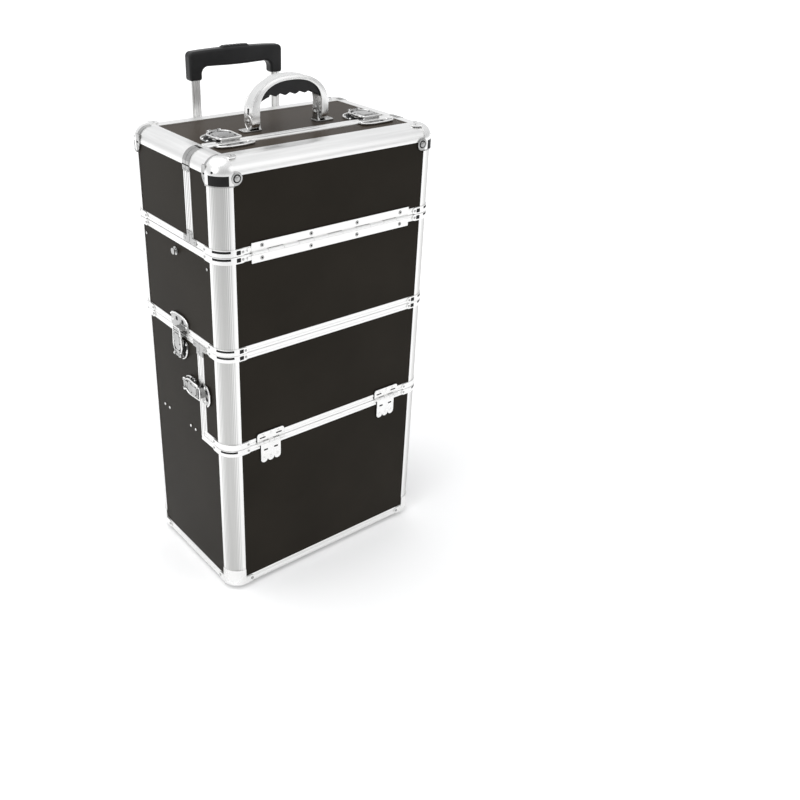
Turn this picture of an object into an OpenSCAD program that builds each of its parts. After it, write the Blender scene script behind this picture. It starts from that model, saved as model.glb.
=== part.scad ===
// Rolling makeup case: a trolley case with a drop front carries a train case with two lids and swing-out trays.
// X runs across the front, Y from front to rear, Z up from the floor, all in millimetres.

/* [Case] */
// Width across the front
case_w = 360; // [340:1:400]
// Depth from the front face to the rear face
case_d = 227; // [210:1:245]
// Height of the case bottom above the floor
ground = 8; // [6:1:12]
// Height of the trolley case below its drop front
lower_h = 244; // [200:1:280]
// Height of the drop front
flap_h = 150; // [140:1:180]
// Height of the train case body
body_h = 140; // [120:1:170]
// Height of the two lids
lid_h = 124; // [118:1:150]
// Depth of the front lid, from the front face to the seam
front_lid_d = 72; // [71:0.5:80]
// How far the side wings of the drop front reach back
wing_d = 62; // [56:0.5:80]

/* [Frame] */
// Outer radius of the rounded corner posts
post_r = 24; // [20:0.5:28]
// Radius of the rounded top trim
top_r = 18; // [14:0.5:19]
// Height of the top trim down the lid's face
trim_h = 20; // [20:0.5:30]
// Width of the top trim from the lid's front and rear to the top panel
trim_w = 32; // [28:0.5:34]
// Width of the top trim from the lid's sides to the top panel
trim_side = 28; // [26:0.5:34]
// Height of the ball corners
ball_h = 33; // [30:0.5:40]
// Thickness of the frame of the two cases
wall = 6; // [5:0.25:7]
// Thickness of the frame of the lids
lid_wall = 5.5; // [4.5:0.25:6]
// How far the panels lie below the face of the frame
inset = 0.8; // [0.4:0.1:1.2]
// Thickness of the floor boards
board = 5; // [4:0.5:6]
// Height of the rails along the bottom of the trolley case
bottom_rail_h = 13; // [11:0.5:16]
// Height of the rails along the rims
rail_h = 9.5; // [9:0.5:12]
// Height of the rails along the lower edge of the drop front
flap_rail_h = 9.5; // [8:0.5:12]
// Width of the strips along the seams
strip_w = 8; // [6.6:0.1:8.5]
// Thickness of the corner plates
plate = 1.2; // [0.8:0.1:1.6]
// Length of the corner plates along the rails
plate_leg = 14; // [12:1:16]
// Gap between parts that close on each other
close_gap = 0.6; // [0.4:0.1:1]
// Hairline joint between two members of a frame
joint_line = 0.1; // [0.05:0.05:0.2]
// Gap under the train case where it stands on the trolley case
seat_gap = 0.3; // [0.2:0.1:0.6]

/* [Hinges] */
// Half length of the piano hinges of the lids
lid_hinge_half = 133; // [120:1:138]
// Number of knuckles of a lid hinge
lid_knuckles = 11; // [7:2:15]
// Height of a lid hinge leaf
lid_leaf_h = 14; // [11:0.5:15]
// Place of the drop front's hinges to each side of the middle
flap_hinge_x = 108; // [80:1:112]
// Length of a drop front hinge
flap_hinge_len = 46; // [36:1:50]
// Height of the upper leaf of a drop front hinge
flap_leaf_up = 16; // [14:0.5:24]
// Height of the lower leaf of a drop front hinge
flap_leaf_down = 34; // [24:0.5:40]
// How much shorter the lower leaf is than its hinge, at each end
flap_leaf_in = 6; // [4:0.5:8]
// Radius of the knuckles
knuckle_r = 2.4; // [2:0.1:2.5]
// Distance of a hinge pin in front of the face that it is fixed to
hinge_out = 2.6; // [2.6:0.1:3.2]
// Thickness of the hinge leaves
leaf_t = 1.5; // [1:0.1:1.6]
// Radius of the hinge pins
hinge_pin_r = 1; // [0.8:0.1:1.2]
// Radial running clearance of pins
run_gap = 0.05; // [0.03:0.01:0.09]

/* [Latches] */
// Distance from a latch's seam to the lever's pivot
lever_len = 38; // [34:1:44]
// Height of the lever's pivot over the frame
lever_rise = 6; // [4:0.1:7]
// Height of the drop front's latches above its lower edge
flap_latch_z = 73; // [40:1:78]
// Place of the case latches behind the front face
case_latch_y = 114; // [90:1:150]
// Distance of the lid latches from the sides
lid_latch_in = 64; // [60:1:80]

/* [Carry handle] */
// Place of the carry handle behind the seam
carry_back = 38; // [30:1:60]
// Half of the carry handle's outer width
carry_half = 63; // [58:1:72]
// Height of the carry handle over the lid
carry_rise = 65; // [62:1:80]
// Width of the carry handle's bow from front to rear
bow_w = 22; // [18:1:24]
// Thickness of the bow
bow_t = 6; // [4:0.5:6.5]
// Outer radius of the bow's shoulders
bow_r = 48; // [40:1:48]
// Height of the bow's pivots over the lid
bow_pivot = 12; // [12:0.5:14]

/* [Pull handle] */
// Place of the tubes to each side of the middle
tube_x = 67; // [60:1:80]
// Distance of the tubes behind the rear face
tube_back = 14.5; // [14.5:0.5:32]
// Width of an inner tube
tube_w = 14; // [12:1:18]
// Depth of an inner tube
tube_d = 12; // [10:0.5:12]
// Wall of the tubes
tube_t = 1.4; // [1:0.1:2]
// Gap between the inner tube and its guide
tube_gap = 0.6; // [0.3:0.1:1]
// Length of inner tube that stays inside the guide
tube_overlap = 60; // [50:1:90]
// Height of the grip's lower ends over the case
grip_above = 44; // [30:1:80]
// Height of the grip at its ends
grip_h = 38; // [34:1:48]
// Height of the grip's bar
grip_bar = 22; // [18:1:26]
// Half width of the grip
grip_half = 77; // [77:1:96]
// Depth of the grip
grip_d = 16; // [16:0.5:24]
// Half length of the release button
button_half = 24; // [16:1:30]
// Travel of the release button
button_travel = 3; // [2:0.5:4]

/* [Wheels] */
// Radius of the wheels
wheel_r = 25; // [23:0.5:28]
// Width of the wheels
wheel_w = 20; // [16:1:24]
// Place of the wheels to each side of the middle
wheel_x = 123; // [112:1:124]
// Distance of the axle in front of the rear face
wheel_in = 14; // [12:0.5:18]
// Radius of the axles
axle_r = 4; // [3:0.25:5]

/* [Trays] */
// Thickness of the swing-out trays' walls
tray_t = 2.5; // [2:0.25:3]
// Height of the two rear trays
tray_h = 42; // [36:1:44]
// Length of the arms of the front tray
front_arm = 43; // [40:0.5:44]
// Length of the arms of the inner rear tray
rear_arm = 50; // [44:0.5:52]
// Length of the links between the rear trays
link_len = 48; // [44:0.5:50]
// Thickness of arms and links
arm_t = 1.8; // [1.4:0.1:2]
// Half width of arms and links
arm_r = 3.3; // [2.8:0.1:3.4]
// Radius of the arms' pins
arm_pin_r = 1.5; // [1.2:0.1:1.7]
// Gap between arms, links, trays and cheeks
layer_gap = 0.5; // [0.4:0.1:0.8]
// Thickness of the lift-out tray's walls
lift_t = 3; // [2.5:0.25:4]
// Gap around a divider in its tray
slot_gap = 0.2; // [0.1:0.05:0.4]

/* [Shoulder strap] */
// Width of the webbing
strap_w = 38; // [30:1:40]
// Thickness of the webbing
strap_t = 1.6; // [1.2:0.1:2]
// Gap between two turns of the rolled strap
strap_gap = 0.7; // [0.6:0.1:1]
// Number of turns of the rolled strap
strap_turns = 9; // [6:1:10]

/* [Hidden] */
$fn = 48;

// Colours
aluminium = [0.84, 0.85, 0.86];
chrome = [0.72, 0.73, 0.75];
laminate = [0.13, 0.12, 0.12];
plastic = [0.09, 0.09, 0.09];
foam = [0.24, 0.22, 0.20];
rubber = [0.06, 0.06, 0.06];

// Levels
half_w = case_w / 2;
z_bottom = ground;
z_flap = z_bottom + lower_h;
z_rim = z_flap + flap_h;
z_lid = z_rim + body_h;
z_top = z_lid + lid_h;
z_body = z_rim + seat_gap;
z_body_top = z_lid - close_gap / 2;
z_lid_low = z_lid + close_gap / 2;
z_flap_low = z_flap + close_gap;

// Frame lines
in_x = half_w - wall;
post_x = half_w - post_r;
panel_x = half_w - trim_side;
y_rear_post = case_d - post_r;
wing_strip_y = wing_d - strip_w;
fixed_strip_y = wing_d + close_gap;
front_depth = front_lid_d - close_gap / 2;
rear_depth = case_d - front_lid_d - close_gap / 2;

// The whole case lies so that its box is centred on the origin from front to rear
hinge_proud = knuckle_r + hinge_out;
bracket_wall = 2;
rear_reach = tube_back + max(grip_d / 2, tube_d / 2 + tube_gap + tube_t + bracket_wall);
y_shift = -(case_d + rear_reach - hinge_proud) / 2;

// Hinges
knuckle_gap = 0.4;
leaf_clear = knuckle_r + 0.6;
// Corner plates beside a lid hinge end short of it
hinge_clear = 2;
seam_leg = min(plate_leg, post_x - lid_hinge_half - hinge_clear);

// Latches, in a frame with u towards the keeper, v across and w out from the frame's face
latch_base_t = 1;
latch_base_u = -13.5;
latch_tail = -lever_len - 4;
lobe_r = 6;
lever_half = 5;
// Half widths of a latch: its base, its lever and its keeper
flap_latch = [14, 13, 16];
case_latch = [19, 13, 24];
lid_latch = [26, 19, 28];
lid_latch_x = half_w - lid_latch_in;
ear_t = 2;
lever_shoulder = 11;
lever_waist = 18;
ear_gap = 0.3;
lever_pin_r = 1.2;
barrel_r = 2;
wire_r = 1;
wire_u = 5.6;
wire_w = lever_rise + 1.05;
wire_in = 3.5;
hook_len = 24;
hook_t = 1;
lip = [1.2, 4.2];
lip_in = 5.5;

// Carry handle
carry_y = front_lid_d + carry_back;
z_carry = z_top + carry_rise;
z_pivot = z_top + bow_pivot;
bow_shoulder_z = z_carry - bow_r;
bow_pin_r = 2.5;
bow_end_r = 8.5;

// Pull handle
tube_y = case_d + tube_back;
guide_w = tube_w + 2 * (tube_gap + tube_t);
guide_d = tube_d + 2 * (tube_gap + tube_t);
z_guide_top = z_rim - 4;
guide_up = 28;
z_guide_low = z_bottom + guide_up;
z_grip = z_top + grip_above;
z_grip_top = z_grip + grip_h;
z_bar = z_grip_top - grip_bar;
button_gap = 0.3;
button_depth = 8;
button_half_d = 5;

// Wheels
wheel_y = case_d - wheel_in;
wheel_side_gap = 1.5;
cheek_wall = 4;
housing_w = wheel_w + 2 * (wheel_side_gap + cheek_wall);
housing_d = wheel_in + wheel_r + 7;
housing_h = 2 * wheel_r + 8 - ground;

// Strap studs: radius and height of each step
stud_drop = 22;
stud_foot = [6, 1.5];
stud_neck = [2.5, 2.5];
stud_head = [4.5, 1.6];

// Swing-out trays: layers from the cheeks inwards
cheek_t = 3;
cheek_in = 14.5;
cheek_x = half_w - cheek_in;
arm_x = cheek_x - layer_gap - arm_t;
link_x = arm_x - layer_gap - arm_t;
tray_half = link_x - layer_gap;
cheek_y0 = 12.5;
cheek_y1 = case_d - cheek_y0;
cheek_up = 30;
cheek_down = 60;
pivot_z = z_lid - 3;
tray_low = z_lid + 4;
outer_low = tray_low + tray_h + 4;
front_tray_h = 2 * tray_h + 4;
front_tray_in = 11;
front_tray_gap = 4.5;
rear_tray_in = 10;
rear_tray_gap = 7.5;
front_tray_y = [front_tray_in, front_lid_d - front_tray_gap];
rear_tray_y = [front_lid_d + rear_tray_gap, case_d - rear_tray_in];
front_swing = 33;
rear_swing = 147;
link_swing = 150;
arm_in = [4.5, 17];
front_arm_y = [cheek_y0 + arm_in[0], cheek_y0 + arm_in[1]];
rear_arm_in = [7.5, 47.5];
rear_arm_y = [cheek_y1 - rear_arm_in[0], cheek_y1 - rear_arm_in[1]];
link_in = [20, 60];
link_y = [rear_tray_y[1] - link_in[0], rear_tray_y[1] - link_in[1]];
link_z = tray_low + tray_h - 6;

// How far the dividers stay below the rim of their tray
divider_low = 3;

// Lift-out tray
ledge_w = 16;
ledge_t = 3;
rivet_front = 26;
rivet_rear = 52;
rivet_step = 14;
lift_low = z_flap + ledge_t + close_gap / 2;
lift_half = in_x - 6;
lift_y = [wall + 6, case_d - wall - 8];
lift_drop = 14;
lift_top = z_rim - lift_drop;

// Shoulder strap
strap_core = 9;
strap_step = 12;
strap_pitch = strap_t + strap_gap;
strap_at = [-90, 100];
strap_points = strap_turns * 360 / strap_step;
strap_turn = 360 / strap_step;
function strap_dir(i) = [cos(i * strap_step), sin(i * strap_step)];
function strap_radius(i) = strap_core + strap_pitch * i / strap_turn;
strap_inner = [for (i = [0 : strap_points]) strap_radius(i) * strap_dir(i)];
strap_outer = [for (i = [0 : strap_points]) (strap_radius(i) + strap_t) * strap_dir(i)];
strap_gaps = [for (i = [0 : strap_points - strap_turn], k = [-1 : 1])
    if (i + k >= 0) norm(strap_inner[i + strap_turn] - strap_outer[i + k])];
echo(strap_turn_gap = min(strap_gaps));
echo(strap_length = PI * strap_turns * (2 * strap_core + strap_pitch * strap_turns));

// Helpers

module place() {
    translate([0, y_shift, 0]) children();
}

module box(x, y, z) {
    translate([x[0], y[0], z[0]])
        cube([x[1] - x[0], y[1] - y[0], z[1] - z[0]]);
}

module both_sides() {
    children();
    mirror([1, 0, 0]) children();
}

// The same shape seen from the rear face
module flip_y() {
    translate([0, case_d, 0]) mirror([0, 1, 0]) children();
}

// A quarter of a ring, in the quadrant of positive x and y
module quarter_ring(r_out, r_in, h) {
    rotate_extrude(angle = 90)
        translate([r_in, 0]) square([r_out - r_in, h]);
}

module rounded_plate(x, y, z, r) {
    box([x[0] + r, x[1] - r], y, z);
    box(x, [y[0] + r, y[1] - r], z);
    for (cx = [x[0] + r, x[1] - r], cy = [y[0] + r, y[1] - r])
        translate([cx, cy, z[0]]) cylinder(r = r, h = z[1] - z[0]);
}

// Frame parts of the front face; the rear face uses them flipped

module posts(z, r_out, r_in) {
    both_sides()
        translate([post_x, post_r, z[0]])
            rotate(-90) quarter_ring(r_out, r_in, z[1] - z[0]);
}

module cross_rail(z, t) {
    box([joint_line - post_x, post_x - joint_line], [0, t], z);
}

module side_rails(y, z, t) {
    both_sides() box([half_w - t, half_w], [y[0] + joint_line, y[1] - joint_line], z);
}

// Upright strips between an upper and a lower rail
module side_strips(y, z, t) {
    both_sides() box([half_w - t, half_w], y, [z[0] + joint_line, z[1] - joint_line]);
}

module cross_board(z, t) {
    box([-post_x, post_x], [inset, t], z);
}

module side_boards(y, z, t) {
    both_sides() box([half_w - t, half_w - inset], y, z);
}

// A corner plate: a bent band round the post with a riveted leg on each face
module corner_plates(z, leg_z, face_leg = plate_leg) {
    rivet_r = 2;
    rivet_h = 0.8;
    mid_z = (leg_z[0] + leg_z[1]) / 2;
    posts(z, post_r + plate, post_r);
    both_sides() {
        box([post_x - face_leg, post_x], [-plate, 0], leg_z);
        box([half_w, half_w + plate], [post_r, post_r + plate_leg], leg_z);
        translate([post_x - face_leg / 2, -plate, mid_z])
            rotate([90, 0, 0]) cylinder(r = rivet_r, h = rivet_h);
        translate([half_w + plate, post_r + plate_leg / 2, mid_z])
            rotate([0, 90, 0]) cylinder(r = rivet_r, h = rivet_h);
    }
}

// One half of a hinge: its pin lies along X at the origin and its leaf on the plane y = hinge_out
module hinge_half(len, count, first, up, leaf_h, leaf_in, pinned) {
    seg = len / count;
    leaf_x = len / 2 - leaf_in;
    function span(a, b) = up ? [a, b] : [-b, -a];
    difference() {
        union() {
            for (i = [first : 2 : count - 1]) {
                x0 = -len / 2 + i * seg + knuckle_gap / 2;
                x1 = x0 + seg - knuckle_gap;
                translate([x0, 0, 0]) rotate([0, 90, 0]) cylinder(r = knuckle_r, h = x1 - x0);
                box([x0, x1], [hinge_out - leaf_t, hinge_out], span(0, leaf_clear));
            }
            box([-leaf_x, leaf_x], [hinge_out - leaf_t, hinge_out], span(leaf_clear, leaf_h));
            if (pinned)
                translate([-len / 2, 0, 0]) rotate([0, 90, 0]) cylinder(r = hinge_pin_r, h = len);
        }
        if (!pinned)
            translate([-len / 2 - 1, 0, 0])
                rotate([0, 90, 0]) cylinder(r = hinge_pin_r + run_gap, h = len + 2);
    }
}

// Latch parts, in the frame of u, v and w

module latch_base(half) {
    ear_v = lever_half + ear_gap;
    ear_u = [-lever_len - 3, -lever_len + 3];
    ear_w = [latch_base_t, lever_rise + 2.2];
    box([latch_tail, latch_base_u], [-half, half], [-inset, latch_base_t]);
    for (s = [-1, 1]) {
        translate([latch_tail, s * (half - lobe_r), -inset]) cylinder(r = lobe_r, h = inset + latch_base_t);
        box(ear_u, s > 0 ? [ear_v, ear_v + ear_t] : [-ear_v - ear_t, -ear_v], ear_w);
    }
    translate([-lever_len, -ear_v - ear_t, lever_rise])
        rotate([-90, 0, 0]) cylinder(r = lever_pin_r, h = 2 * (ear_v + ear_t));
}

module latch_lever(half) {
    plate_w = lever_rise - 0.75;
    plate_t = 1.5;
    wire_v = half - wire_in;
    wire_start = -6;
    plate_end = -0.6;
    edge = [[-lever_len, lever_half], [-lever_len + 3.6, lever_half], [-lever_len + 5, half - 0.5],
        [lever_shoulder - lever_len, half], [lever_waist - lever_len, half - 2.5], [plate_end, half - 2]];
    other = [for (i = [len(edge) - 1 : -1 : 0]) [edge[i][0], -edge[i][1]]];
    difference() {
        union() {
            translate([0, 0, plate_w]) linear_extrude(plate_t) polygon(concat(edge, other));
            translate([-lever_len, -lever_half, lever_rise])
                rotate([-90, 0, 0]) cylinder(r = barrel_r, h = 2 * lever_half);
            for (s = [-1, 1])
                translate([wire_start, s * wire_v, wire_w])
                    rotate([0, 90, 0]) cylinder(r = wire_r, h = wire_u - wire_start, $fn = 24);
            translate([wire_u, -wire_v - wire_r, wire_w])
                rotate([-90, 0, 0]) cylinder(r = wire_r, h = 2 * (wire_v + wire_r), $fn = 24);
        }
        translate([-lever_len, -lever_half - 1, lever_rise])
            rotate([-90, 0, 0]) cylinder(r = lever_pin_r + run_gap, h = 2 * lever_half + 2);
    }
}

// A keeper: a plate that lies on the seam's strip and on the panel, with a hook for the lever's wire
module latch_hook(half, lever) {
    step = max(strip_w, rail_h) + 0.3;
    box([0.6, hook_len], [-half, half], [0, hook_t]);
    box([step, hook_len], [-half, half], [-inset, 0]);
    box(lip, [lip_in - lever, lever - lip_in], [hook_t, wire_w]);
}

// Places of the latches on the right side or on the top

module at_flap_latch() {
    translate([half_w, wing_d + close_gap / 2, z_flap + flap_latch_z])
        rotate([-90, 0, 0]) rotate([0, 90, 0]) children();
}

module at_case_latch() {
    translate([half_w, case_latch_y, z_rim + seat_gap / 2])
        rotate([180, 0, 0]) rotate([0, 90, 0]) children();
}

module at_lid_latch() {
    translate([lid_latch_x, front_lid_d, z_top]) rotate(-90) children();
}

// Trolley case

module housing_blocks() {
    both_sides()
        box([wheel_x - housing_w / 2, wheel_x + housing_w / 2], [case_d - housing_d, case_d],
            [z_bottom, z_bottom + housing_h]);
}

module lower_panels() {
    low = z_bottom + bottom_rail_h;
    color(laminate) place() {
        difference() {
            rounded_plate([-in_x, in_x], [wall, case_d - wall], [z_bottom, z_bottom + board], post_r - wall);
            housing_blocks();
        }
        cross_board([low, z_flap - flap_rail_h], wall);
        difference() {
            flip_y() cross_board([low, z_rim - rail_h], wall);
            housing_blocks();
        }
        side_boards([post_r, fixed_strip_y + strip_w], [low, z_flap - flap_rail_h], wall);
        side_boards([fixed_strip_y + strip_w, y_rear_post], [low, z_rim - rail_h], wall);
    }
}

module lower_frame() {
    r_in = post_r - wall;
    low = [z_bottom, z_bottom + bottom_rail_h];
    flap_line = [z_flap - flap_rail_h, z_flap];
    rim = [z_rim - rail_h, z_rim];
    color(aluminium) place() {
        posts([z_bottom, z_flap], post_r, r_in);
        flip_y() posts([z_bottom, z_rim], post_r, r_in);
        cross_rail(low, wall);
        side_rails([post_r, y_rear_post], low, wall);
        difference() {
            flip_y() cross_rail(low, wall);
            housing_blocks();
        }
        cross_rail(flap_line, wall);
        side_rails([post_r, fixed_strip_y + strip_w], flap_line, wall);
        side_strips([fixed_strip_y, fixed_strip_y + strip_w], [z_flap, z_rim - rail_h], wall);
        flip_y() cross_rail(rim, wall);
        side_rails([fixed_strip_y, y_rear_post], rim, wall);
    }
}

module lower_corner_caps() {
    cap_h = 28;
    color(chrome) place() {
        corner_plates([z_bottom, z_bottom + cap_h], [z_bottom, z_bottom + bottom_rail_h]);
        flip_y() corner_plates([z_bottom, z_bottom + cap_h], [z_bottom, z_bottom + bottom_rail_h]);
        corner_plates([z_flap - flap_rail_h, z_flap], [z_flap - flap_rail_h, z_flap]);
        flip_y() corner_plates([z_rim - rail_h, z_rim], [z_rim - rail_h, z_rim]);
    }
}

module front_feet() {
    foot_r = 14;
    foot_in = 50;
    foot_y = 40;
    color(rubber) place()
        both_sides()
            translate([half_w - foot_in, foot_y, 0]) cylinder(r = foot_r, h = z_bottom);
}

module wheel_housings() {
    color(plastic) place()
        difference() {
            housing_blocks();
            both_sides() {
                box([wheel_x - housing_w / 2 + cheek_wall, wheel_x + housing_w / 2 - cheek_wall],
                    [case_d - housing_d + cheek_wall, case_d + 1],
                    [z_bottom - 1, z_bottom + housing_h - cheek_wall]);
                translate([wheel_x - housing_w, wheel_y, wheel_r])
                    rotate([0, 90, 0]) cylinder(r = axle_r, h = 2 * housing_w);
            }
        }
}

module wheel_axles() {
    color(chrome) place()
        both_sides()
            translate([wheel_x - housing_w / 2, wheel_y, wheel_r])
                rotate([0, 90, 0]) cylinder(r = axle_r, h = housing_w);
}

module wheel(side) {
    edge = 3;
    groove = 2;
    hub_r = wheel_r * 0.62;
    half = wheel_w / 2;
    translate([side * wheel_x, wheel_y, wheel_r])
        rotate([0, 90, 0]) rotate_extrude()
            polygon([[axle_r + run_gap, -half], [hub_r - 3, -half], [hub_r - 3, groove - half],
                [hub_r, groove - half], [hub_r, -half], [wheel_r - edge, -half], [wheel_r, edge - half],
                [wheel_r, half - edge], [wheel_r - edge, half], [hub_r, half], [hub_r, half - groove],
                [hub_r - 3, half - groove], [hub_r - 3, half], [axle_r + run_gap, half]]);
}

module left_wheel() {
    color(rubber) place() wheel(-1);
}

module right_wheel() {
    color(rubber) place() wheel(1);
}

module tube_bar(w, d, z, r) {
    both_sides()
        rounded_plate([tube_x - w / 2, tube_x + w / 2], [tube_y - d / 2, tube_y + d / 2], z, r);
}

module guide_tubes() {
    color(aluminium) place()
        difference() {
            tube_bar(guide_w, guide_d, [z_guide_low, z_guide_top], 4);
            tube_bar(guide_w - 2 * tube_t, guide_d - 2 * tube_t, [z_guide_low - 1, z_guide_top + 1], 3);
        }
}

module tube_brackets() {
    bracket_h = 30;
    over = 8;
    x_out = tube_x + guide_w / 2 + over;
    y_out = tube_y + guide_d / 2 + bracket_wall;
    low = z_guide_low - 6;
    high = z_rim - rail_h - close_gap;
    color(plastic) place()
        difference() {
            for (z0 = [low, high - bracket_h])
                box([-x_out, x_out], [case_d - inset, y_out], [z0, z0 + bracket_h]);
            tube_bar(guide_w, guide_d, [z_guide_low, z_guide_top], 4);
            for (z0 = [low, high - bracket_h])
                box([-tube_x + guide_w, tube_x - guide_w], [case_d + 6, y_out + 1],
                    [z0 - 1, z0 + bracket_h + 1]);
        }
}

module tray_ledges() {
    rivet_off = [-rivet_front, rivet_step - rivet_front, rivet_rear, rivet_rear + rivet_step];
    rivet_y = [for (off = rivet_off) case_latch_y + off];
    color(aluminium) place()
        both_sides() {
            box([in_x - ledge_w, in_x], [fixed_strip_y + strip_w + 2, y_rear_post], [z_flap, z_flap + ledge_t]);
            for (y = rivet_y)
                translate([half_w - inset, y, z_flap - 2]) rotate([0, 90, 0]) cylinder(r = 2, h = 1);
        }
}

module at_flap_hinges() {
    both_sides()
        translate([flap_hinge_x, -hinge_out, z_flap + close_gap / 2]) children();
}

module flap_hinge_lower() {
    color(chrome) place()
        at_flap_hinges() hinge_half(flap_hinge_len, 5, 1, false, flap_leaf_down, flap_leaf_in, true);
}

module lower_latch_bases() {
    color(chrome) place()
        both_sides() {
            at_flap_latch() latch_base(flap_latch[0]);
            at_case_latch() latch_base(case_latch[0]);
        }
}

module shoulder_strap() {
    back = [for (i = [strap_points : -1 : 0]) strap_outer[i]];
    color(rubber) place()
        translate([strap_at[0], strap_at[1], z_bottom + board])
            linear_extrude(strap_w) polygon(concat(strap_inner, back));
}

// Pull handle

module inner_tubes() {
    z = [z_guide_top - tube_overlap, z_grip];
    color(aluminium) place()
        difference() {
            tube_bar(tube_w, tube_d, z, 3);
            tube_bar(tube_w - 2 * tube_t, tube_d - 2 * tube_t, [z[0] - 1, z[1] + 1], 2);
        }
}

module pull_grip() {
    leg_w = 19.5;
    r = 6;
    y = [tube_y - grip_d / 2, tube_y + grip_d / 2];
    color(plastic) place()
        difference() {
            union() {
                rounded_plate([-grip_half, grip_half], y, [z_bar, z_grip_top], r);
                both_sides()
                    rounded_plate([grip_half - leg_w, grip_half], y, [z_grip, z_grip_top], r);
            }
            rounded_plate([-button_half - button_gap, button_half + button_gap],
                [tube_y - button_half_d - button_gap, tube_y + button_half_d + button_gap],
                [z_grip_top - button_depth, z_grip_top + 1], 4 + button_gap);
        }
}

module release_button() {
    z0 = z_grip_top - button_depth + button_travel + 0.5;
    color(plastic) place()
        rounded_plate([-button_half, button_half], [tube_y - button_half_d, tube_y + button_half_d],
            [z0, z_grip_top + button_travel], 4);
}

// Drop front

module flap_panels() {
    z = [z_flap_low + flap_rail_h, z_rim - rail_h];
    color(laminate) place() {
        cross_board(z, wall);
        side_boards([post_r, wing_strip_y], z, wall);
    }
}

module flap_frame() {
    low = [z_flap_low, z_flap_low + flap_rail_h];
    rim = [z_rim - rail_h, z_rim];
    color(aluminium) place() {
        posts([z_flap_low, z_rim], post_r, post_r - wall);
        cross_rail(low, wall);
        cross_rail(rim, wall);
        side_rails([post_r, wing_d], low, wall);
        side_rails([post_r, wing_d], rim, wall);
        side_strips([wing_strip_y, wing_d], [low[1], rim[0]], wall);
    }
}

module flap_corner_plates() {
    low = [z_flap_low, z_flap_low + flap_rail_h];
    rim = [z_rim - rail_h, z_rim];
    color(chrome) place() {
        corner_plates(low, low);
        corner_plates(rim, rim);
    }
}

module flap_hinge_upper() {
    color(chrome) place()
        at_flap_hinges() hinge_half(flap_hinge_len, 5, 0, true, flap_leaf_up, 0, false);
}

module flap_hooks() {
    color(chrome) place()
        both_sides() at_flap_latch() latch_hook(flap_latch[2], flap_latch[1]);
}

module left_flap_lever() {
    color(chrome) place() mirror([1, 0, 0]) at_flap_latch() latch_lever(flap_latch[1]);
}

module right_flap_lever() {
    color(chrome) place() at_flap_latch() latch_lever(flap_latch[1]);
}

module left_case_lever() {
    color(chrome) place() mirror([1, 0, 0]) at_case_latch() latch_lever(case_latch[1]);
}

module right_case_lever() {
    color(chrome) place() at_case_latch() latch_lever(case_latch[1]);
}

// Train case body

module body_panels() {
    z = [z_body + rail_h, z_body_top - rail_h];
    color(laminate) place() {
        rounded_plate([-in_x, in_x], [wall, case_d - wall], [z_body, z_body + board], post_r - wall);
        cross_board(z, wall);
        flip_y() cross_board(z, wall);
        side_boards([post_r, y_rear_post], z, wall);
    }
}

module body_frame() {
    color(aluminium) place() {
        posts([z_body, z_body_top], post_r, post_r - wall);
        flip_y() posts([z_body, z_body_top], post_r, post_r - wall);
        for (z = [[z_body, z_body + rail_h], [z_body_top - rail_h, z_body_top]]) {
            cross_rail(z, wall);
            flip_y() cross_rail(z, wall);
            side_rails([post_r, y_rear_post], z, wall);
        }
    }
}

module body_corner_plates() {
    color(chrome) place()
        for (at = [[z_body, plate_leg], [z_body_top - rail_h, seam_leg]]) {
            z = [at[0], at[0] + rail_h];
            corner_plates(z, z, at[1]);
            flip_y() corner_plates(z, z, at[1]);
        }
}

// A pin that carries an arm, from the face at x inwards or outwards by a signed length
module arm_pin(x, y, z, length) {
    both_sides()
        translate([length > 0 ? x : x + length, y, z])
            rotate([0, 90, 0]) cylinder(r = arm_pin_r, h = abs(length), $fn = 32);
}

module side_cheeks() {
    color(foam) place() {
        both_sides() {
            box([cheek_x, cheek_x + cheek_t], [cheek_y0, cheek_y1], [z_lid - cheek_down, z_lid + cheek_up]);
            box([cheek_x + cheek_t, in_x], [post_r + 6, y_rear_post - 6],
                [z_lid - cheek_down, z_body_top - rail_h]);
        }
        for (y = concat(front_arm_y, rear_arm_y))
            arm_pin(cheek_x, y, pivot_z, -(layer_gap + arm_t));
    }
}

module body_hinge_leaves() {
    len = 2 * lid_hinge_half;
    color(aluminium) place() {
        translate([0, -hinge_out, z_lid]) hinge_half(len, lid_knuckles, 1, false, lid_leaf_h, 0, true);
        flip_y()
            translate([0, -hinge_out, z_lid]) hinge_half(len, lid_knuckles, 1, false, lid_leaf_h, 0, true);
    }
}

module case_hooks() {
    color(chrome) place()
        both_sides() at_case_latch() latch_hook(case_latch[2], case_latch[1]);
}

module strap_studs() {
    stud_z = z_body_top - stud_drop;
    color(chrome) place()
        both_sides() {
            translate([half_w - inset, case_latch_y, stud_z]) rotate([0, 90, 0]) {
                cylinder(r = stud_foot[0], h = stud_foot[1]);
                translate([0, 0, stud_foot[1]]) cylinder(r = stud_neck[0], h = stud_neck[1]);
                translate([0, 0, stud_foot[1] + stud_neck[1]]) cylinder(r = stud_head[0], h = stud_head[1]);
            }
            for (y = [post_r + 8, y_rear_post - 6])
                translate([half_w - inset, y, stud_z]) rotate([0, 90, 0]) cylinder(r = 2, h = 1);
        }
}

module body_divider() {
    color(foam) place()
        box([-2, 2], [wall, case_d - wall], [z_body + board, z_lid - cheek_down]);
}

// Lids, drawn as the front lid; the rear lid uses them flipped

module lid_panels(depth) {
    z = [z_lid_low + rail_h, z_top - trim_h];
    cross_board(z, lid_wall);
    side_boards([post_r, depth - strip_w], z, lid_wall);
    box([-panel_x, panel_x], [trim_w, depth - strip_w], [z_top - lid_wall, z_top - inset]);
}

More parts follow.
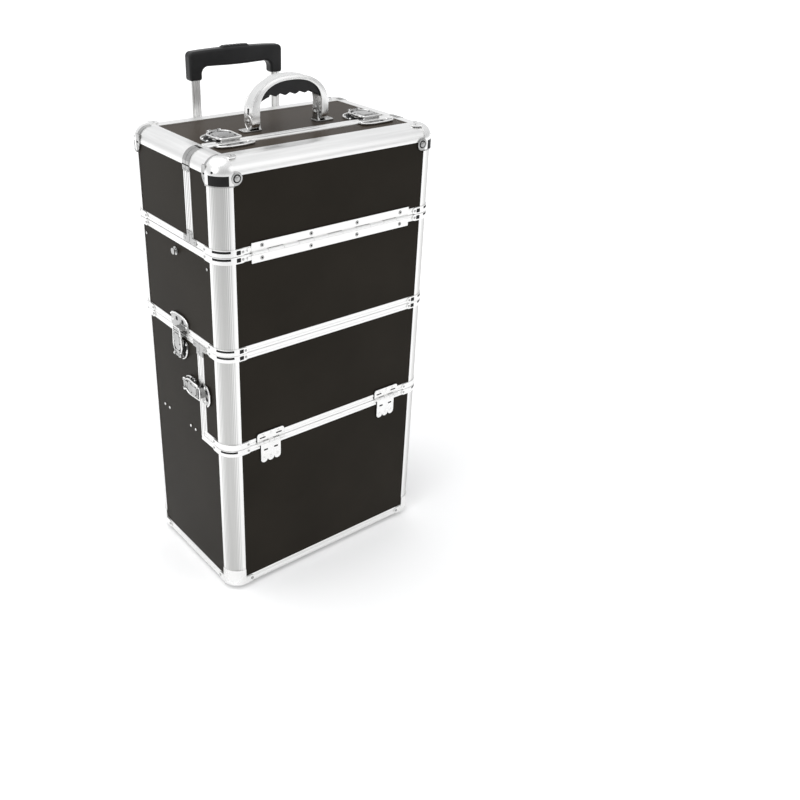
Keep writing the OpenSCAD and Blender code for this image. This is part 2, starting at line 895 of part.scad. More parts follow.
module trim_corner_profile() {
    translate([post_r - lid_wall, -trim_h]) square([lid_wall, trim_h - top_r]);
    translate([post_r - top_r, -top_r])
        intersection() {
            difference() {
                circle(top_r);
                circle(top_r - lid_wall);
            }
            square(top_r);
        }
    translate([0, -lid_wall]) square([post_r - top_r, lid_wall]);
}

module lid_frame(depth) {
    flange = [z_top - trim_h, z_top - top_r];
    skin = [z_top - lid_wall, z_top];
    rim = [z_lid_low, z_lid_low + rail_h];
    r_in = top_r - lid_wall;
    trim_x = post_x - joint_line;
    trim_y = post_r + joint_line;
    inner_x = panel_x - joint_line;
    posts([z_lid_low, z_top - trim_h - joint_line], post_r, post_r - lid_wall);
    cross_rail(rim, lid_wall);
    side_rails([post_r, depth], rim, lid_wall);
    side_strips([depth - strip_w, depth], [rim[1], flange[0]], lid_wall);
    box([-inner_x, inner_x], [depth - strip_w, depth], skin);
    // Rounded trim along the front
    union() {
        box([-trim_x, trim_x], [0, lid_wall], flange);
        translate([-trim_x, top_r, z_top - top_r])
            rotate([90, 0, 90]) rotate(90) quarter_ring(top_r, r_in, 2 * trim_x);
        box([-trim_x, trim_x], [top_r, post_r], skin);
        box([-inner_x, inner_x], [post_r, trim_w], skin);
    }
    // Rounded trim along the sides
    both_sides() {
        box([half_w - lid_wall, half_w], [trim_y, depth], flange);
        translate([half_w - top_r, depth, z_top - top_r])
            rotate([90, 0, 0]) quarter_ring(top_r, r_in, depth - trim_y);
        box([panel_x, half_w - top_r], [trim_y, depth], skin);
    }
    both_sides()
        translate([post_x, post_r, z_top])
            rotate(-90) rotate_extrude(angle = 90) trim_corner_profile();
}

module cap_profile(cap_h) {
    translate([post_r, -cap_h]) square([plate, cap_h - top_r]);
    translate([post_r - top_r, -top_r])
        intersection() {
            difference() {
                circle(top_r + plate);
                circle(top_r);
            }
            square(top_r + plate);
        }
    square([post_r - top_r, plate]);
}

module lid_corners() {
    ear = [z_top - ball_h + 1, z_top - top_r];
    rim = [z_lid_low, z_lid_low + rail_h];
    both_sides() {
        translate([post_x, post_r, z_top])
            rotate(-90) rotate_extrude(angle = 90) cap_profile(ball_h);
        box([post_x - plate_leg, post_x], [-plate, 0], ear);
        box([half_w, half_w + plate], [post_r, post_r + plate_leg], ear);
    }
    corner_plates(rim, rim, seam_leg);
}

module lid_leaf() {
    translate([0, -hinge_out, z_lid])
        hinge_half(2 * lid_hinge_half, lid_knuckles, 0, true, lid_leaf_h, 0, false);
}

module front_lid_panels() {
    color(laminate) place() lid_panels(front_depth);
}

module front_lid_frame() {
    color(aluminium) place() lid_frame(front_depth);
}

module front_lid_corners() {
    color(chrome) place() lid_corners();
}

module front_lid_leaf() {
    color(aluminium) place() lid_leaf();
}

module lid_hooks() {
    color(chrome) place()
        both_sides() at_lid_latch() latch_hook(lid_latch[2], lid_latch[1]);
}

module rear_lid_panels() {
    color(laminate) place() flip_y() lid_panels(rear_depth);
}

module rear_lid_frame() {
    color(aluminium) place() flip_y() lid_frame(rear_depth);
}

module rear_lid_corners() {
    color(chrome) place() flip_y() lid_corners();
}

module rear_lid_leaf() {
    color(aluminium) place() flip_y() lid_leaf();
}

module lid_latch_bases() {
    color(chrome) place()
        both_sides() at_lid_latch() latch_base(lid_latch[0]);
}

module left_lid_lever() {
    color(chrome) place() mirror([1, 0, 0]) at_lid_latch() latch_lever(lid_latch[1]);
}

module right_lid_lever() {
    color(chrome) place() at_lid_latch() latch_lever(lid_latch[1]);
}

// Carry handle on the rear lid

module handle_brackets() {
    ear_r = 6;
    ear = 3.2;
    foot_out = 8;
    foot_half = 12;
    leg = [carry_half - bow_t, carry_half];
    ears = [[leg[0] - ear_gap - ear, leg[0] - ear_gap], [leg[1] + ear_gap, leg[1] + ear_gap + ear]];
    base_z = z_top + 1.2;
    color(chrome) place()
        both_sides() {
            box([leg[0] - foot_out, leg[1] + foot_out], [carry_y - foot_half, carry_y + foot_half],
                [z_top - inset, base_z]);
            for (x = ears) {
                box(x, [carry_y - ear_r, carry_y + ear_r], [base_z, z_pivot]);
                translate([x[0], carry_y, z_pivot])
                    rotate([0, 90, 0]) cylinder(r = ear_r, h = ear);
            }
            translate([ears[0][0], carry_y, z_pivot])
                rotate([0, 90, 0]) cylinder(r = bow_pin_r, h = ears[1][1] - ears[0][0]);
        }
}

module handle_bow() {
    y = [carry_y - bow_w / 2, carry_y + bow_w / 2];
    shoulder_x = carry_half - bow_r;
    color(chrome) place()
        difference() {
            union() {
                box([-shoulder_x, shoulder_x], y, [z_carry - bow_t, z_carry]);
                both_sides() {
                    translate([shoulder_x, y[1], bow_shoulder_z])
                        rotate([90, 0, 0]) quarter_ring(bow_r, bow_r - bow_t, bow_w);
                    box([carry_half - bow_t, carry_half], [carry_y - bow_end_r, carry_y + bow_end_r],
                        [z_pivot, bow_shoulder_z]);
                    translate([carry_half - bow_t, carry_y, z_pivot])
                        rotate([0, 90, 0]) cylinder(r = bow_end_r, h = bow_t);
                }
            }
            both_sides()
                translate([carry_half - bow_t - 1, carry_y, z_pivot])
                    rotate([0, 90, 0]) cylinder(r = bow_pin_r + run_gap, h = bow_t + 2);
        }
}

module handle_grip() {
    grip_x = 50;
    grip_drop = 25;
    grip_y = bow_w / 2 - 1;
    waves = 4;
    wave_step = 15;
    wave_r = 9;
    shoulder_x = carry_half - bow_r;
    z = [z_carry - grip_drop, z_carry - bow_t];
    color(plastic) place()
        difference() {
            intersection() {
                box([-grip_x, grip_x], [carry_y - grip_y, carry_y + grip_y], z);
                union() {
                    box([-shoulder_x, shoulder_x], [carry_y - bow_w, carry_y + bow_w], [z[0] - 1, z[1]]);
                    both_sides()
                        translate([shoulder_x, carry_y + bow_w, bow_shoulder_z])
                            rotate([90, 0, 0]) cylinder(r = bow_r - bow_t, h = 2 * bow_w, $fn = 96);
                }
            }
            for (i = [0 : waves - 1])
                translate([(i - (waves - 1) / 2) * wave_step, carry_y + bow_w, z[0] - wave_r + 3])
                    rotate([90, 0, 0]) cylinder(r = wave_r, h = 2 * bow_w);
        }
}

// Swing-out trays

module open_tray(half, y, z, t) {
    difference() {
        box([-half, half], y, z);
        box([t - half, half - t], [y[0] + t, y[1] - t], [z[0] + t, z[1] + 1]);
    }
}

// Loose dividers that part a tray into three, standing on its floor
module tray_dividers(half, y, z, t) {
    fit = t + slot_gap;
    both_sides()
        box([half / 3 - t / 2, half / 3 + t / 2], [y[0] + fit, y[1] - fit], [z[0] + fit, z[1] - divider_low]);
}

// Arms or links on both sides, from the pivot at y and z, turned to an angle over the rear direction
module arms(x, y, z, length, angle) {
    both_sides()
        translate([x, y, z]) rotate([angle, 0, 0])
            difference() {
                union() {
                    box([0, arm_t], [0, length], [-arm_r, arm_r]);
                    for (end = [0, length])
                        translate([0, end, 0]) rotate([0, 90, 0]) cylinder(r = arm_r, h = arm_t, $fn = 32);
                }
                for (end = [0, length])
                    translate([-1, end, 0])
                        rotate([0, 90, 0]) cylinder(r = arm_pin_r + run_gap, h = arm_t + 2, $fn = 32);
            }
}

module front_tray() {
    z = [tray_low, tray_low + front_tray_h];
    color(foam) place() {
        union() {
            open_tray(tray_half, front_tray_y, z, tray_t);
            for (y = front_arm_y)
                arm_pin(tray_half, y + front_arm * cos(front_swing), pivot_z + front_arm * sin(front_swing),
                    cheek_x - layer_gap - tray_half);
        }
        tray_dividers(tray_half, front_tray_y, z, tray_t);
    }
}

module front_arms_a() {
    color(aluminium) place() arms(arm_x, front_arm_y[0], pivot_z, front_arm, front_swing);
}

module front_arms_b() {
    color(aluminium) place() arms(arm_x, front_arm_y[1], pivot_z, front_arm, front_swing);
}

module inner_tray() {
    z = [tray_low, tray_low + tray_h];
    color(foam) place() {
        union() {
            open_tray(tray_half, rear_tray_y, z, tray_t);
            for (y = rear_arm_y)
                arm_pin(tray_half, y + rear_arm * cos(rear_swing), pivot_z + rear_arm * sin(rear_swing),
                    cheek_x - layer_gap - tray_half);
            for (y = link_y)
                arm_pin(tray_half, y, link_z, arm_x - layer_gap - tray_half);
        }
        tray_dividers(tray_half, rear_tray_y, z, tray_t);
    }
}

module inner_arms_a() {
    color(aluminium) place() arms(arm_x, rear_arm_y[0], pivot_z, rear_arm, rear_swing);
}

module inner_arms_b() {
    color(aluminium) place() arms(arm_x, rear_arm_y[1], pivot_z, rear_arm, rear_swing);
}

module outer_tray() {
    z = [outer_low, outer_low + tray_h];
    color(foam) place() {
        union() {
            open_tray(tray_half, rear_tray_y, z, tray_t);
            for (y = link_y)
                arm_pin(tray_half, y + link_len * cos(link_swing), link_z + link_len * sin(link_swing),
                    arm_x - layer_gap - tray_half);
        }
        tray_dividers(tray_half, rear_tray_y, z, tray_t);
    }
}

module outer_links_a() {
    color(aluminium) place() arms(link_x, link_y[0], link_z, link_len, link_swing);
}

module outer_links_b() {
    color(aluminium) place() arms(link_x, link_y[1], link_z, link_len, link_swing);
}

module lift_out_tray() {
    z = [lift_low, lift_top];
    span = lift_half / 3 - lift_t / 2 - slot_gap;
    y_mid = (lift_y[0] + lift_y[1]) / 2;
    color(foam) place() {
        open_tray(lift_half, lift_y, z, lift_t);
        tray_dividers(lift_half, lift_y, z, lift_t);
        box([-span, span], [y_mid - lift_t / 2, y_mid + lift_t / 2],
            [z[0] + lift_t + slot_gap, z[1] - divider_low]);
    }
}

lower_panels();
lower_frame();
lower_corner_caps();
front_feet();
wheel_housings();
wheel_axles();
guide_tubes();
tube_brackets();
tray_ledges();
flap_hinge_lower();
lower_latch_bases();
shoulder_strap();
left_wheel();
right_wheel();
inner_tubes();
pull_grip();
release_button();
flap_panels();
flap_frame();
flap_corner_plates();
flap_hinge_upper();
flap_hooks();
left_flap_lever();
right_flap_lever();
left_case_lever();
right_case_lever();
body_panels();
body_frame();
body_corner_plates();
side_cheeks();
body_hinge_leaves();
case_hooks();
strap_studs();
body_divider();
front_lid_panels();
front_lid_frame();
front_lid_corners();
front_lid_leaf();
lid_hooks();
rear_lid_panels();
rear_lid_frame();
rear_lid_corners();
rear_lid_leaf();
handle_brackets();
lid_latch_bases();
handle_bow();
handle_grip();
left_lid_lever();
right_lid_lever();
front_tray();
front_arms_a();
front_arms_b();
inner_tray();
inner_arms_a();
inner_arms_b();
outer_tray();
outer_links_a();
outer_links_b();
lift_out_tray();
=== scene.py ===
# Looks of the rolling makeup case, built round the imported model.
# Shapes are drawn in millimetres in the case's own frame: X across, Y back from the front face and Z up
# from the floor.
import math

import bmesh
import bpy
from mathutils import Matrix, Vector


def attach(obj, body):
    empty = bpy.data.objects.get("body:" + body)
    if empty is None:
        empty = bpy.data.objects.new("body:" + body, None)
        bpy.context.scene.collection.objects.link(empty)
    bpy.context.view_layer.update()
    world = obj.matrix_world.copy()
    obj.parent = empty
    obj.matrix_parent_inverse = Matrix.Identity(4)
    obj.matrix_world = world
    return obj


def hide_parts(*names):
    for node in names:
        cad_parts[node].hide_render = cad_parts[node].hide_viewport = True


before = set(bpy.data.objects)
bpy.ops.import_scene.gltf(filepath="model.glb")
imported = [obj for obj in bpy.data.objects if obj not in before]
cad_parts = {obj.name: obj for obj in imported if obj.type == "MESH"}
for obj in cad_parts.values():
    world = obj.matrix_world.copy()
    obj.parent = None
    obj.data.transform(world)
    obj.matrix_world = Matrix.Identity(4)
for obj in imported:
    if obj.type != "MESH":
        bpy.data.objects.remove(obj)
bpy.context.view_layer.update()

# Sizes of the model, in millimetres
MM = 0.001
Y_ORIGIN = 123.25
HALF_W = 180.0
CASE_D = 227.0
POST_R = 24.0
POST_X = HALF_W - POST_R
TOP_R = 18.0
TRIM_H = 20.0
TRIM_W = 32.0
TRIM_SIDE = 28.0
BALL_H = 33.0
WALL = 6.0
LID_WALL = 5.5
BOTTOM_H = 13.0
RAIL_H = 9.5
STRIP_W = 8.0
BOARD = 5.0
PLATE = 1.2
THIN = 0.9
SINK = 0.2
PLATE_LEG = 14.0
LINE = 0.1
SEAT = 0.3
GAP = 0.6
Z_BOTTOM = 8.0
Z_FLAP = 252.0
Z_RIM = 402.0
Z_LID = 542.0
Z_TOP = 666.0
WING_D = 62.0
SEAM_Y = 72.0
FRONT_DEPTH = SEAM_Y - GAP / 2
REAR_DEPTH = CASE_D - SEAM_Y - GAP / 2
FIXED_Y = WING_D + GAP
HOUSING_X = (107.5, 138.5)
LATCH_Y = 114.0

X = Vector((1, 0, 0))
Y = Vector((0, 1, 0))
Z = Vector((0, 0, 1))


# Shape building

class Shape:
    """Vertices in millimetres with faces, each face with a material index."""

    def __init__(self):
        self.verts = []
        self.faces = []

    def add(self, verts, faces, mat=0):
        start = len(self.verts)
        self.verts += [Vector(v) for v in verts]
        self.faces += [([start + i for i in face], mat) for face in faces]
        return self

    def put(self, other, place=None):
        start = len(self.verts)
        self.verts += [place(v) if place else v.copy() for v in other.verts]
        self.faces += [([start + i for i in face], mat) for face, mat in other.faces]
        return self

    def moved(self, place):
        return Shape().put(self, place)

    def mirrored(self):
        return self.moved(lambda v: Vector((-v.x, v.y, v.z)))

    def flipped(self):
        return self.moved(lambda v: Vector((v.x, CASE_D - v.y, v.z)))

    def both(self):
        return Shape().put(self).put(self.mirrored())

    def front_and_rear(self):
        return Shape().put(self).put(self.flipped())


def basis(origin, u, v, w):
    origin = Vector(origin)
    return lambda p: origin + u * p.x + v * p.y + w * p.z


def shift(x, y, z):
    return lambda p: p + Vector((x, y, z))


def on_front(x, z, out=0.0):
    return basis((x, -out, z), X, Z, -Y)


def on_right(y, z, out=0.0):
    return basis((HALF_W + out, y, z), Y, Z, X)


def on_top(x, y, out=0.0):
    return basis((x, y, Z_TOP + out), X, Y, Z)


def block(lo, hi, mat=0):
    xs, ys, zs = zip(lo, hi)
    verts = [(x, y, z) for z in zs for y in ys for x in xs]
    faces = [(0, 2, 3, 1), (4, 5, 7, 6), (0, 1, 5, 4), (2, 6, 7, 3), (0, 4, 6, 2), (1, 3, 7, 5)]
    return Shape().add(verts, faces, mat)


def skin(rings, mat=0, loop=False):
    """Rings of equally many points joined by faces; the two end rings are capped, or joined in a loop."""
    count = len(rings[0])
    total = len(rings)
    faces = []
    for i in range(total if loop else total - 1):
        low = i * count
        high = (i + 1) % total * count
        for k in range(count):
            n = (k + 1) % count
            faces.append((low + k, low + n, high + n, high + k))
    if not loop:
        faces.append(range(count))
        faces.append(range(total * count - 1, (total - 1) * count - 1, -1))
    return Shape().add([p for ring in rings for p in ring], faces, mat)


def bar(section, start, end, u, v, mat=0):
    """A closed section of (u, v) points drawn out from start to end."""
    return skin([[Vector(p) + u * a + v * b for a, b in section] for p in (start, end)], mat)


def prism(outline, low, high, mat=0):
    return bar(outline, (0, 0, low), (0, 0, high), X, Y, mat)


def post_turn(section, first, last, steps, mat=0):
    """A closed section of (radius, height) points turned about the right front post's axis, in degrees."""
    rings = []
    for i in range(steps + 1):
        a = math.radians(first + (last - first) * i / steps)
        rings.append([(POST_X + r * math.cos(a), POST_R + r * math.sin(a), z) for r, z in section])
    return skin(rings, mat)


def lathe(profile, segs=28, mat=0):
    """A profile of (radius, height) points turned about the local w axis; its ends may lie on the axis."""
    verts = []
    rings = []
    for r, h in profile:
        if r < 1e-6:
            rings.append([len(verts)])
            verts.append((0, 0, h))
            continue
        rings.append(list(range(len(verts), len(verts) + segs)))
        for i in range(segs):
            a = 2 * math.pi * i / segs
            verts.append((r * math.cos(a), r * math.sin(a), h))
    faces = []
    for low, high in zip(rings, rings[1:]):
        for i in range(segs):
            n = (i + 1) % segs
            face = [low[i % len(low)], low[n % len(low)], high[n % len(high)], high[i % len(high)]]
            faces.append(tuple(dict.fromkeys(face)))
    return Shape().add(verts, faces, mat)


def ring_lathe(profile, segs=40, mat=0):
    return lathe(profile + profile[:1], segs, mat)


def disc(r, low, high, segs, mat=0):
    return lathe([(0, low), (r, low), (r, high), (0, high)], segs, mat)


def tube(points, radius, segs=10, mat=0):
    """A round wire along points, with its ends closed."""
    points = [Vector(p) for p in points]
    tangents = []
    for i in range(len(points)):
        ahead = points[min(i + 1, len(points) - 1)]
        behind = points[max(i - 1, 0)]
        tangents.append((ahead - behind).normalized())
    side = tangents[0].orthogonal().normalized()
    turns = [2 * math.pi * k / segs for k in range(segs)]
    rings = []
    for point, tangent in zip(points, tangents):
        side = (side - tangent * side.dot(tangent)).normalized()
        other = tangent.cross(side)
        rings.append([point + side * radius * math.cos(a) + other * radius * math.sin(a) for a in turns])
    return skin(rings, mat)


def arc(cx, cy, r, first, last, steps):
    turns = [math.radians(first + (last - first) * i / steps) for i in range(steps + 1)]
    return [(cx + r * math.cos(a), cy + r * math.sin(a)) for a in turns]


def oblong(a0, a1, b0, b1):
    return [(a0, b0), (a1, b0), (a1, b1), (a0, b1)]


def rounded_rect(x0, x1, y0, y1, r):
    corners = oblong(x0 + r, x1 - r, y0 + r, y1 - r)
    turned = zip(corners[1:] + corners[:1], (-90, 0, 90, 180))
    return [p for (cx, cy), first in turned for p in arc(cx, cy, r, first, first + 90, 5)]


def mirror_back(points):
    """The points mirrored in their first axis, in reverse order."""
    return [(-a, b) for a, b in reversed(points)]


def rivet(r=2.0, h=0.9, mat=0):
    head = [(r, 0.1 * h), (0.86 * r, 0.6 * h), (0.5 * r, 0.92 * h), (0, h)]
    return lathe([(0, -0.4), (r, -0.4)] + head, 18, mat)


def ringed_rivet(r):
    """A flat washer with a dark ring and a domed head."""
    shape = lathe([(0, -0.3), (r, -0.3), (r, 0.5), (0.9 * r, 0.8), (0.78 * r, 0.85), (0, 0.85)])
    shape.put(disc(0.7 * r, 0.8, 0.95, 28, 1))
    return shape.put(lathe([(0, 0.9), (0.5 * r, 0.9), (0.48 * r, 1.4), (0.3 * r, 1.9), (0, 2.1)], 24))


# Materials

def add_node(tree, kind, inputs, **settings):
    """A new shader node; each input is given as a value or as the output that feeds it."""
    node = tree.nodes.new("ShaderNode" + kind)
    for name, value in settings.items():
        setattr(node, name, value)
    for name, value in inputs.items():
        if isinstance(value, bpy.types.NodeSocket):
            tree.links.new(value, node.inputs[name])
        else:
            node.inputs[name].default_value = value
    return node


def shader_input(mat, name):
    return mat.node_tree.nodes["Principled BSDF"].inputs[name]


def feed(mat, name, output):
    mat.node_tree.links.new(output, shader_input(mat, name))


def base_material(name, colour, rough, metal=0.0, level=0.5):
    mat = bpy.data.materials.new(name)
    mat.use_nodes = True
    shader_input(mat, "Base Color").default_value = (*colour, 1)
    shader_input(mat, "Roughness").default_value = rough
    shader_input(mat, "Metallic").default_value = metal
    shader_input(mat, "Specular IOR Level").default_value = level
    return mat


def coordinates(tree, kind="Object"):
    return add_node(tree, "TexCoord", {}).outputs[kind]


def add_noise(mat, scale, stretch=(1, 1, 1), detail=3.0):
    tree = mat.node_tree
    place = add_node(tree, "Mapping", {"Vector": coordinates(tree), "Scale": stretch}).outputs["Vector"]
    return add_node(tree, "TexNoise", {"Vector": place, "Scale": scale, "Detail": detail}).outputs["Fac"]


def remap(tree, value, source, target, curve="SMOOTHSTEP"):
    inputs = {"Value": value, "From Min": source[0], "From Max": source[1]}
    inputs.update({"To Min": target[0], "To Max": target[1]})
    return add_node(tree, "MapRange", inputs, interpolation_type=curve).outputs["Result"]


def vary_rough(mat, noise, low, high):
    feed(mat, "Roughness", remap(mat.node_tree, noise, (0.3, 0.7), (low, high), "LINEAR"))


def vary_colour(mat, noise, first, second):
    ramp = add_node(mat.node_tree, "ValToRGB", {"Fac": noise})
    for stop, place, colour in zip(ramp.color_ramp.elements, (0.35, 0.65), (first, second)):
        stop.position = place
        stop.color = (*colour, 1)
    feed(mat, "Base Color", ramp.outputs["Color"])


def combine(tree, operation, first, second):
    return add_node(tree, "Math", {0: first, 1: second}, operation=operation).outputs["Value"]


def add_bump(mat, height, strength, distance):
    inputs = {"Height": height, "Strength": strength, "Distance": distance}
    feed(mat, "Normal", add_node(mat.node_tree, "Bump", inputs).outputs["Normal"])


def laminate_material(name, dark, light):
    mat = base_material(name, dark, 0.36, level=0.05)
    vary_colour(mat, add_noise(mat, 7.0), dark, light)
    grain = add_noise(mat, 1500.0, detail=2.0)
    vary_rough(mat, grain, 0.30, 0.44)
    add_bump(mat, grain, 0.10, 0.0002)
    return mat


def brushed_material(name, stretch):
    mat = base_material(name, (0.90, 0.898, 0.89), 0.34, metal=1.0)
    streak = add_noise(mat, 260.0, stretch, detail=5.0)
    vary_rough(mat, streak, 0.28, 0.40)
    vary_colour(mat, streak, (0.86, 0.858, 0.85), (0.93, 0.928, 0.92))
    add_bump(mat, streak, 0.05, 0.0001)
    return mat


def post_material():
    """Upright extrusions: bright along their edges, with painted shade greying the fluted crown of the
    corner for its shaded grooves and darker reflection.
    """
    mat = brushed_material("satin_aluminium_upright", (1, 1, 0.03))
    tree = mat.node_tree
    plain = shader_input(mat, "Base Color").links[0].from_socket
    facing = add_node(tree, "SeparateXYZ", {"Vector": coordinates(tree, "Normal")}).outputs
    corner = combine(tree, "MULTIPLY", facing["X"], facing["Y"])
    size = add_node(tree, "Math", {0: corner}, operation="ABSOLUTE").outputs["Value"]
    # painted shade: where the normal faces the corner, the colour is multiplied towards grey
    crown = remap(tree, size, (0.10, 0.48), (0.0, 1.0))
    inputs = {0: crown, 6: plain, 7: (0.56, 0.56, 0.555, 1)}
    painted_crown_shade = add_node(tree, "Mix", inputs, data_type="RGBA", blend_type="MULTIPLY")
    feed(mat, "Base Color", painted_crown_shade.outputs[2])
    return mat


def chrome_material(name, dark, light, low, high):
    mat = base_material(name, dark, low, metal=1.0)
    smear = add_noise(mat, 45.0)
    vary_rough(mat, smear, low, high)
    vary_colour(mat, smear, dark, light)
    return mat


def plastic_material(name, dark, light, rough, grain_scale, strength):
    mat = base_material(name, dark, rough, level=0.25)
    grain = add_noise(mat, grain_scale)
    vary_rough(mat, grain, rough - 0.07, rough + 0.07)
    vary_colour(mat, add_noise(mat, 30.0, detail=2.0), dark, light)
    add_bump(mat, grain, strength, 0.0003)
    return mat


def webbing_material():
    mat = base_material("black_webbing", (0.012, 0.012, 0.012), 0.72, level=0.25)
    tree = mat.node_tree
    inputs = {"Vector": coordinates(tree), "Scale": 130.0, "Distortion": 1.5, "Detail": 2.0}
    across = add_node(tree, "TexWave", inputs, wave_type="BANDS", bands_direction="Z")
    yarn = add_noise(mat, 900.0, (1, 1, 0.3), detail=2.0)
    vary_colour(mat, yarn, (0.008, 0.008, 0.008), (0.026, 0.025, 0.025))
    add_bump(mat, across.outputs["Fac"], 0.5, 0.0006)
    return mat


LAMINATE = laminate_material("dark_laminate", (0.0180, 0.0152, 0.0115), (0.0228, 0.0193, 0.0147))
# a lighter, browner copy of the laminate: painted light for the faces that look up
LIT_TOP_LAMINATE = laminate_material("dark_laminate_painted_top_light", (0.036, 0.0275, 0.0200), (0.044, 0.0340, 0.0250))
ALU_X = brushed_material("satin_aluminium_across", (0.03, 1, 1))
ALU_Y = brushed_material("satin_aluminium_deep", (1, 0.03, 1))
ALU_Z = post_material()
CHROME = chrome_material("polished_chrome", (0.36, 0.36, 0.355), (0.50, 0.50, 0.495), 0.10, 0.22)
# a brighter copy of the chrome: a satin finish on the hinges and the bow, and painted highlight in the
# chrome pieces
SATIN_AND_HIGHLIGHT = chrome_material("satin_chrome_and_painted_highlight", (0.84, 0.838, 0.83), (0.88, 0.878, 0.87), 0.24, 0.30)
BLACK = plastic_material("black_plastic", (0.010, 0.010, 0.0105), (0.016, 0.016, 0.0165), 0.36, 1800, 0.12)
# dark for slots, holes, inlays and windows, and painted shade: the ball corners' dark band and the hinge
# leaves' dark outlines
DARK_RECESS_AND_SHADE = plastic_material("dark_recess_and_painted_shade", (0.006, 0.006, 0.006), (0.010, 0.010, 0.010), 0.60, 900, 0.05)
TRAY = plastic_material("tray_board", (0.030, 0.0265, 0.023), (0.042, 0.037, 0.032), 0.62, 1300, 0.22)
RUBBER = plastic_material("black_rubber", (0.012, 0.012, 0.012), (0.020, 0.020, 0.020), 0.66, 700, 0.25)
GREY = plastic_material("grey_hub", (0.16, 0.16, 0.165), (0.20, 0.20, 0.205), 0.42, 1500, 0.10)
WEBBING = webbing_material()
ALUMINIUM = [ALU_Z, ALU_X, ALU_Y]
# chrome pieces: slot 1 for dark parts and painted shade, slot 2 the brighter satin chrome as painted
# highlight
CHROME_DARK_HIGHLIGHT = [CHROME, DARK_RECESS_AND_SHADE, SATIN_AND_HIGHLIGHT]


# Pieces

SHARP = 38.0


def break_edges(obj, width, angle, segs=2):
    edge = obj.modifiers.new("edge", "BEVEL")
    edge.width = width * MM
    edge.segments = segs
    edge.limit_method = "ANGLE"
    edge.angle_limit = math.radians(angle)
    edge.harden_normals = True


def piece(name, shape, body, mats, nodes=(), bevel=0.3, segs=2):
    """A drawn piece that rides on a body and stands for the nodes it replaces."""
    mesh = bpy.data.meshes.new(name)
    bm = bmesh.new()
    verts = [bm.verts.new((v.x * MM, (v.y - Y_ORIGIN) * MM, v.z * MM)) for v in shape.verts]
    for face, mat in shape.faces:
        made = bm.faces.new([verts[i] for i in face])
        made.material_index = mat
        made.smooth = True
    bmesh.ops.recalc_face_normals(bm, faces=bm.faces)
    bm.to_mesh(mesh)
    bm.free()
    for mat in mats:
        mesh.materials.append(mat)
    mesh.set_sharp_from_angle(angle=math.radians(SHARP))
    obj = bpy.data.objects.new(name, mesh)
    bpy.context.scene.collection.objects.link(obj)
    if bevel:
        break_edges(obj, bevel, SHARP, segs)
    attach(obj, body)
    if nodes:
        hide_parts(*nodes)
    return obj


def chrome_piece(name, shape, body, nodes=(), bevel=0.2):
    piece(name, shape, body, CHROME_DARK_HIGHLIGHT, nodes, bevel)


def dress(node, mat, bevel=0.0):
    """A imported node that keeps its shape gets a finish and, if asked, broken edges."""
    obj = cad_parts[node]
    obj.data.materials.clear()
    obj.data.materials.append(mat)
    if bevel:
        weld = obj.modifiers.new("weld", "WELD")
        weld.merge_threshold = 0.00001
        break_edges(obj, bevel, 40)


# Frame members

FLUTES = 11
FLUTE_DEPTH = 0.16
FLUTE_MARGIN = 0.16
FULL = POST_X - LINE
INNER = HALF_W - TRIM_SIDE - LINE


def post(z0, z1, wall):
    """The rounded post of the right front corner, with fine flutes between two plain margins."""
    steps = 88
    outline = []
    for i in range(steps + 1):
        a = math.radians(90 * i / steps - 90)
        t = (i / steps - FLUTE_MARGIN) / (1 - 2 * FLUTE_MARGIN)
        wave = 0.5 - 0.5 * math.cos(2 * math.pi * FLUTES * t) if 0 <= t <= 1 else 0.0
        r = POST_R - FLUTE_DEPTH * wave
        outline.append((POST_X + r * math.cos(a), POST_R + r * math.sin(a)))
    outline += arc(POST_X, POST_R, POST_R - wall, 0, -90, 10)
    return prism(outline, z0, z1)


def rail_section(h, wall):
    """A flat rail with broken edges and a groove along its middle, as distances out and across."""
    mid = h / 2
    half = [(-wall, 0), (-0.5, 0), (0, 0.5), (0, mid - 1.1), (-0.55, mid - 0.6)]
    return half + [(a, h - b) for a, b in reversed(half)]


def front_rail(x0, x1, z0, h, wall):
    return bar(rail_section(h, wall), (x0, 0, z0), (x1, 0, z0), -Y, Z, 1)


def side_rails(y0, y1, z0, h, wall):
    return bar(rail_section(h, wall), (HALF_W, y0 + LINE, z0), (HALF_W, y1 - LINE, z0), X, Z, 2).both()


def side_strips(y0, z0, z1, wall):
    return bar(rail_section(STRIP_W, wall), (HALF_W, y0, z0 + LINE), (HALF_W, y0, z1 - LINE), X, Y).both()


def lower_frame():
    low = Z_FLAP - RAIL_H
    high = Z_RIM - RAIL_H
    rear_y = CASE_D - POST_R
    shape = post(Z_BOTTOM, Z_FLAP, WALL).both()
    shape.put(front_rail(-FULL, FULL, Z_BOTTOM, BOTTOM_H, WALL))
    shape.put(side_rails(POST_R, rear_y, Z_BOTTOM, BOTTOM_H, WALL))
    rear = post(Z_BOTTOM, Z_RIM, WALL).both()
    rear.put(front_rail(-HOUSING_X[0], HOUSING_X[0], Z_BOTTOM, BOTTOM_H, WALL))
    rear.put(front_rail(HOUSING_X[1], FULL, Z_BOTTOM, BOTTOM_H, WALL).both())
    rear.put(front_rail(-FULL, FULL, high, RAIL_H, WALL))
    shape.put(rear.flipped())
    shape.put(front_rail(-FULL, FULL, low, RAIL_H, WALL))
    shape.put(side_rails(POST_R, FIXED_Y + STRIP_W, low, RAIL_H, WALL))
    shape.put(side_strips(FIXED_Y, Z_FLAP, high, WALL))
    return shape.put(side_rails(FIXED_Y, rear_y, high, RAIL_H, WALL))


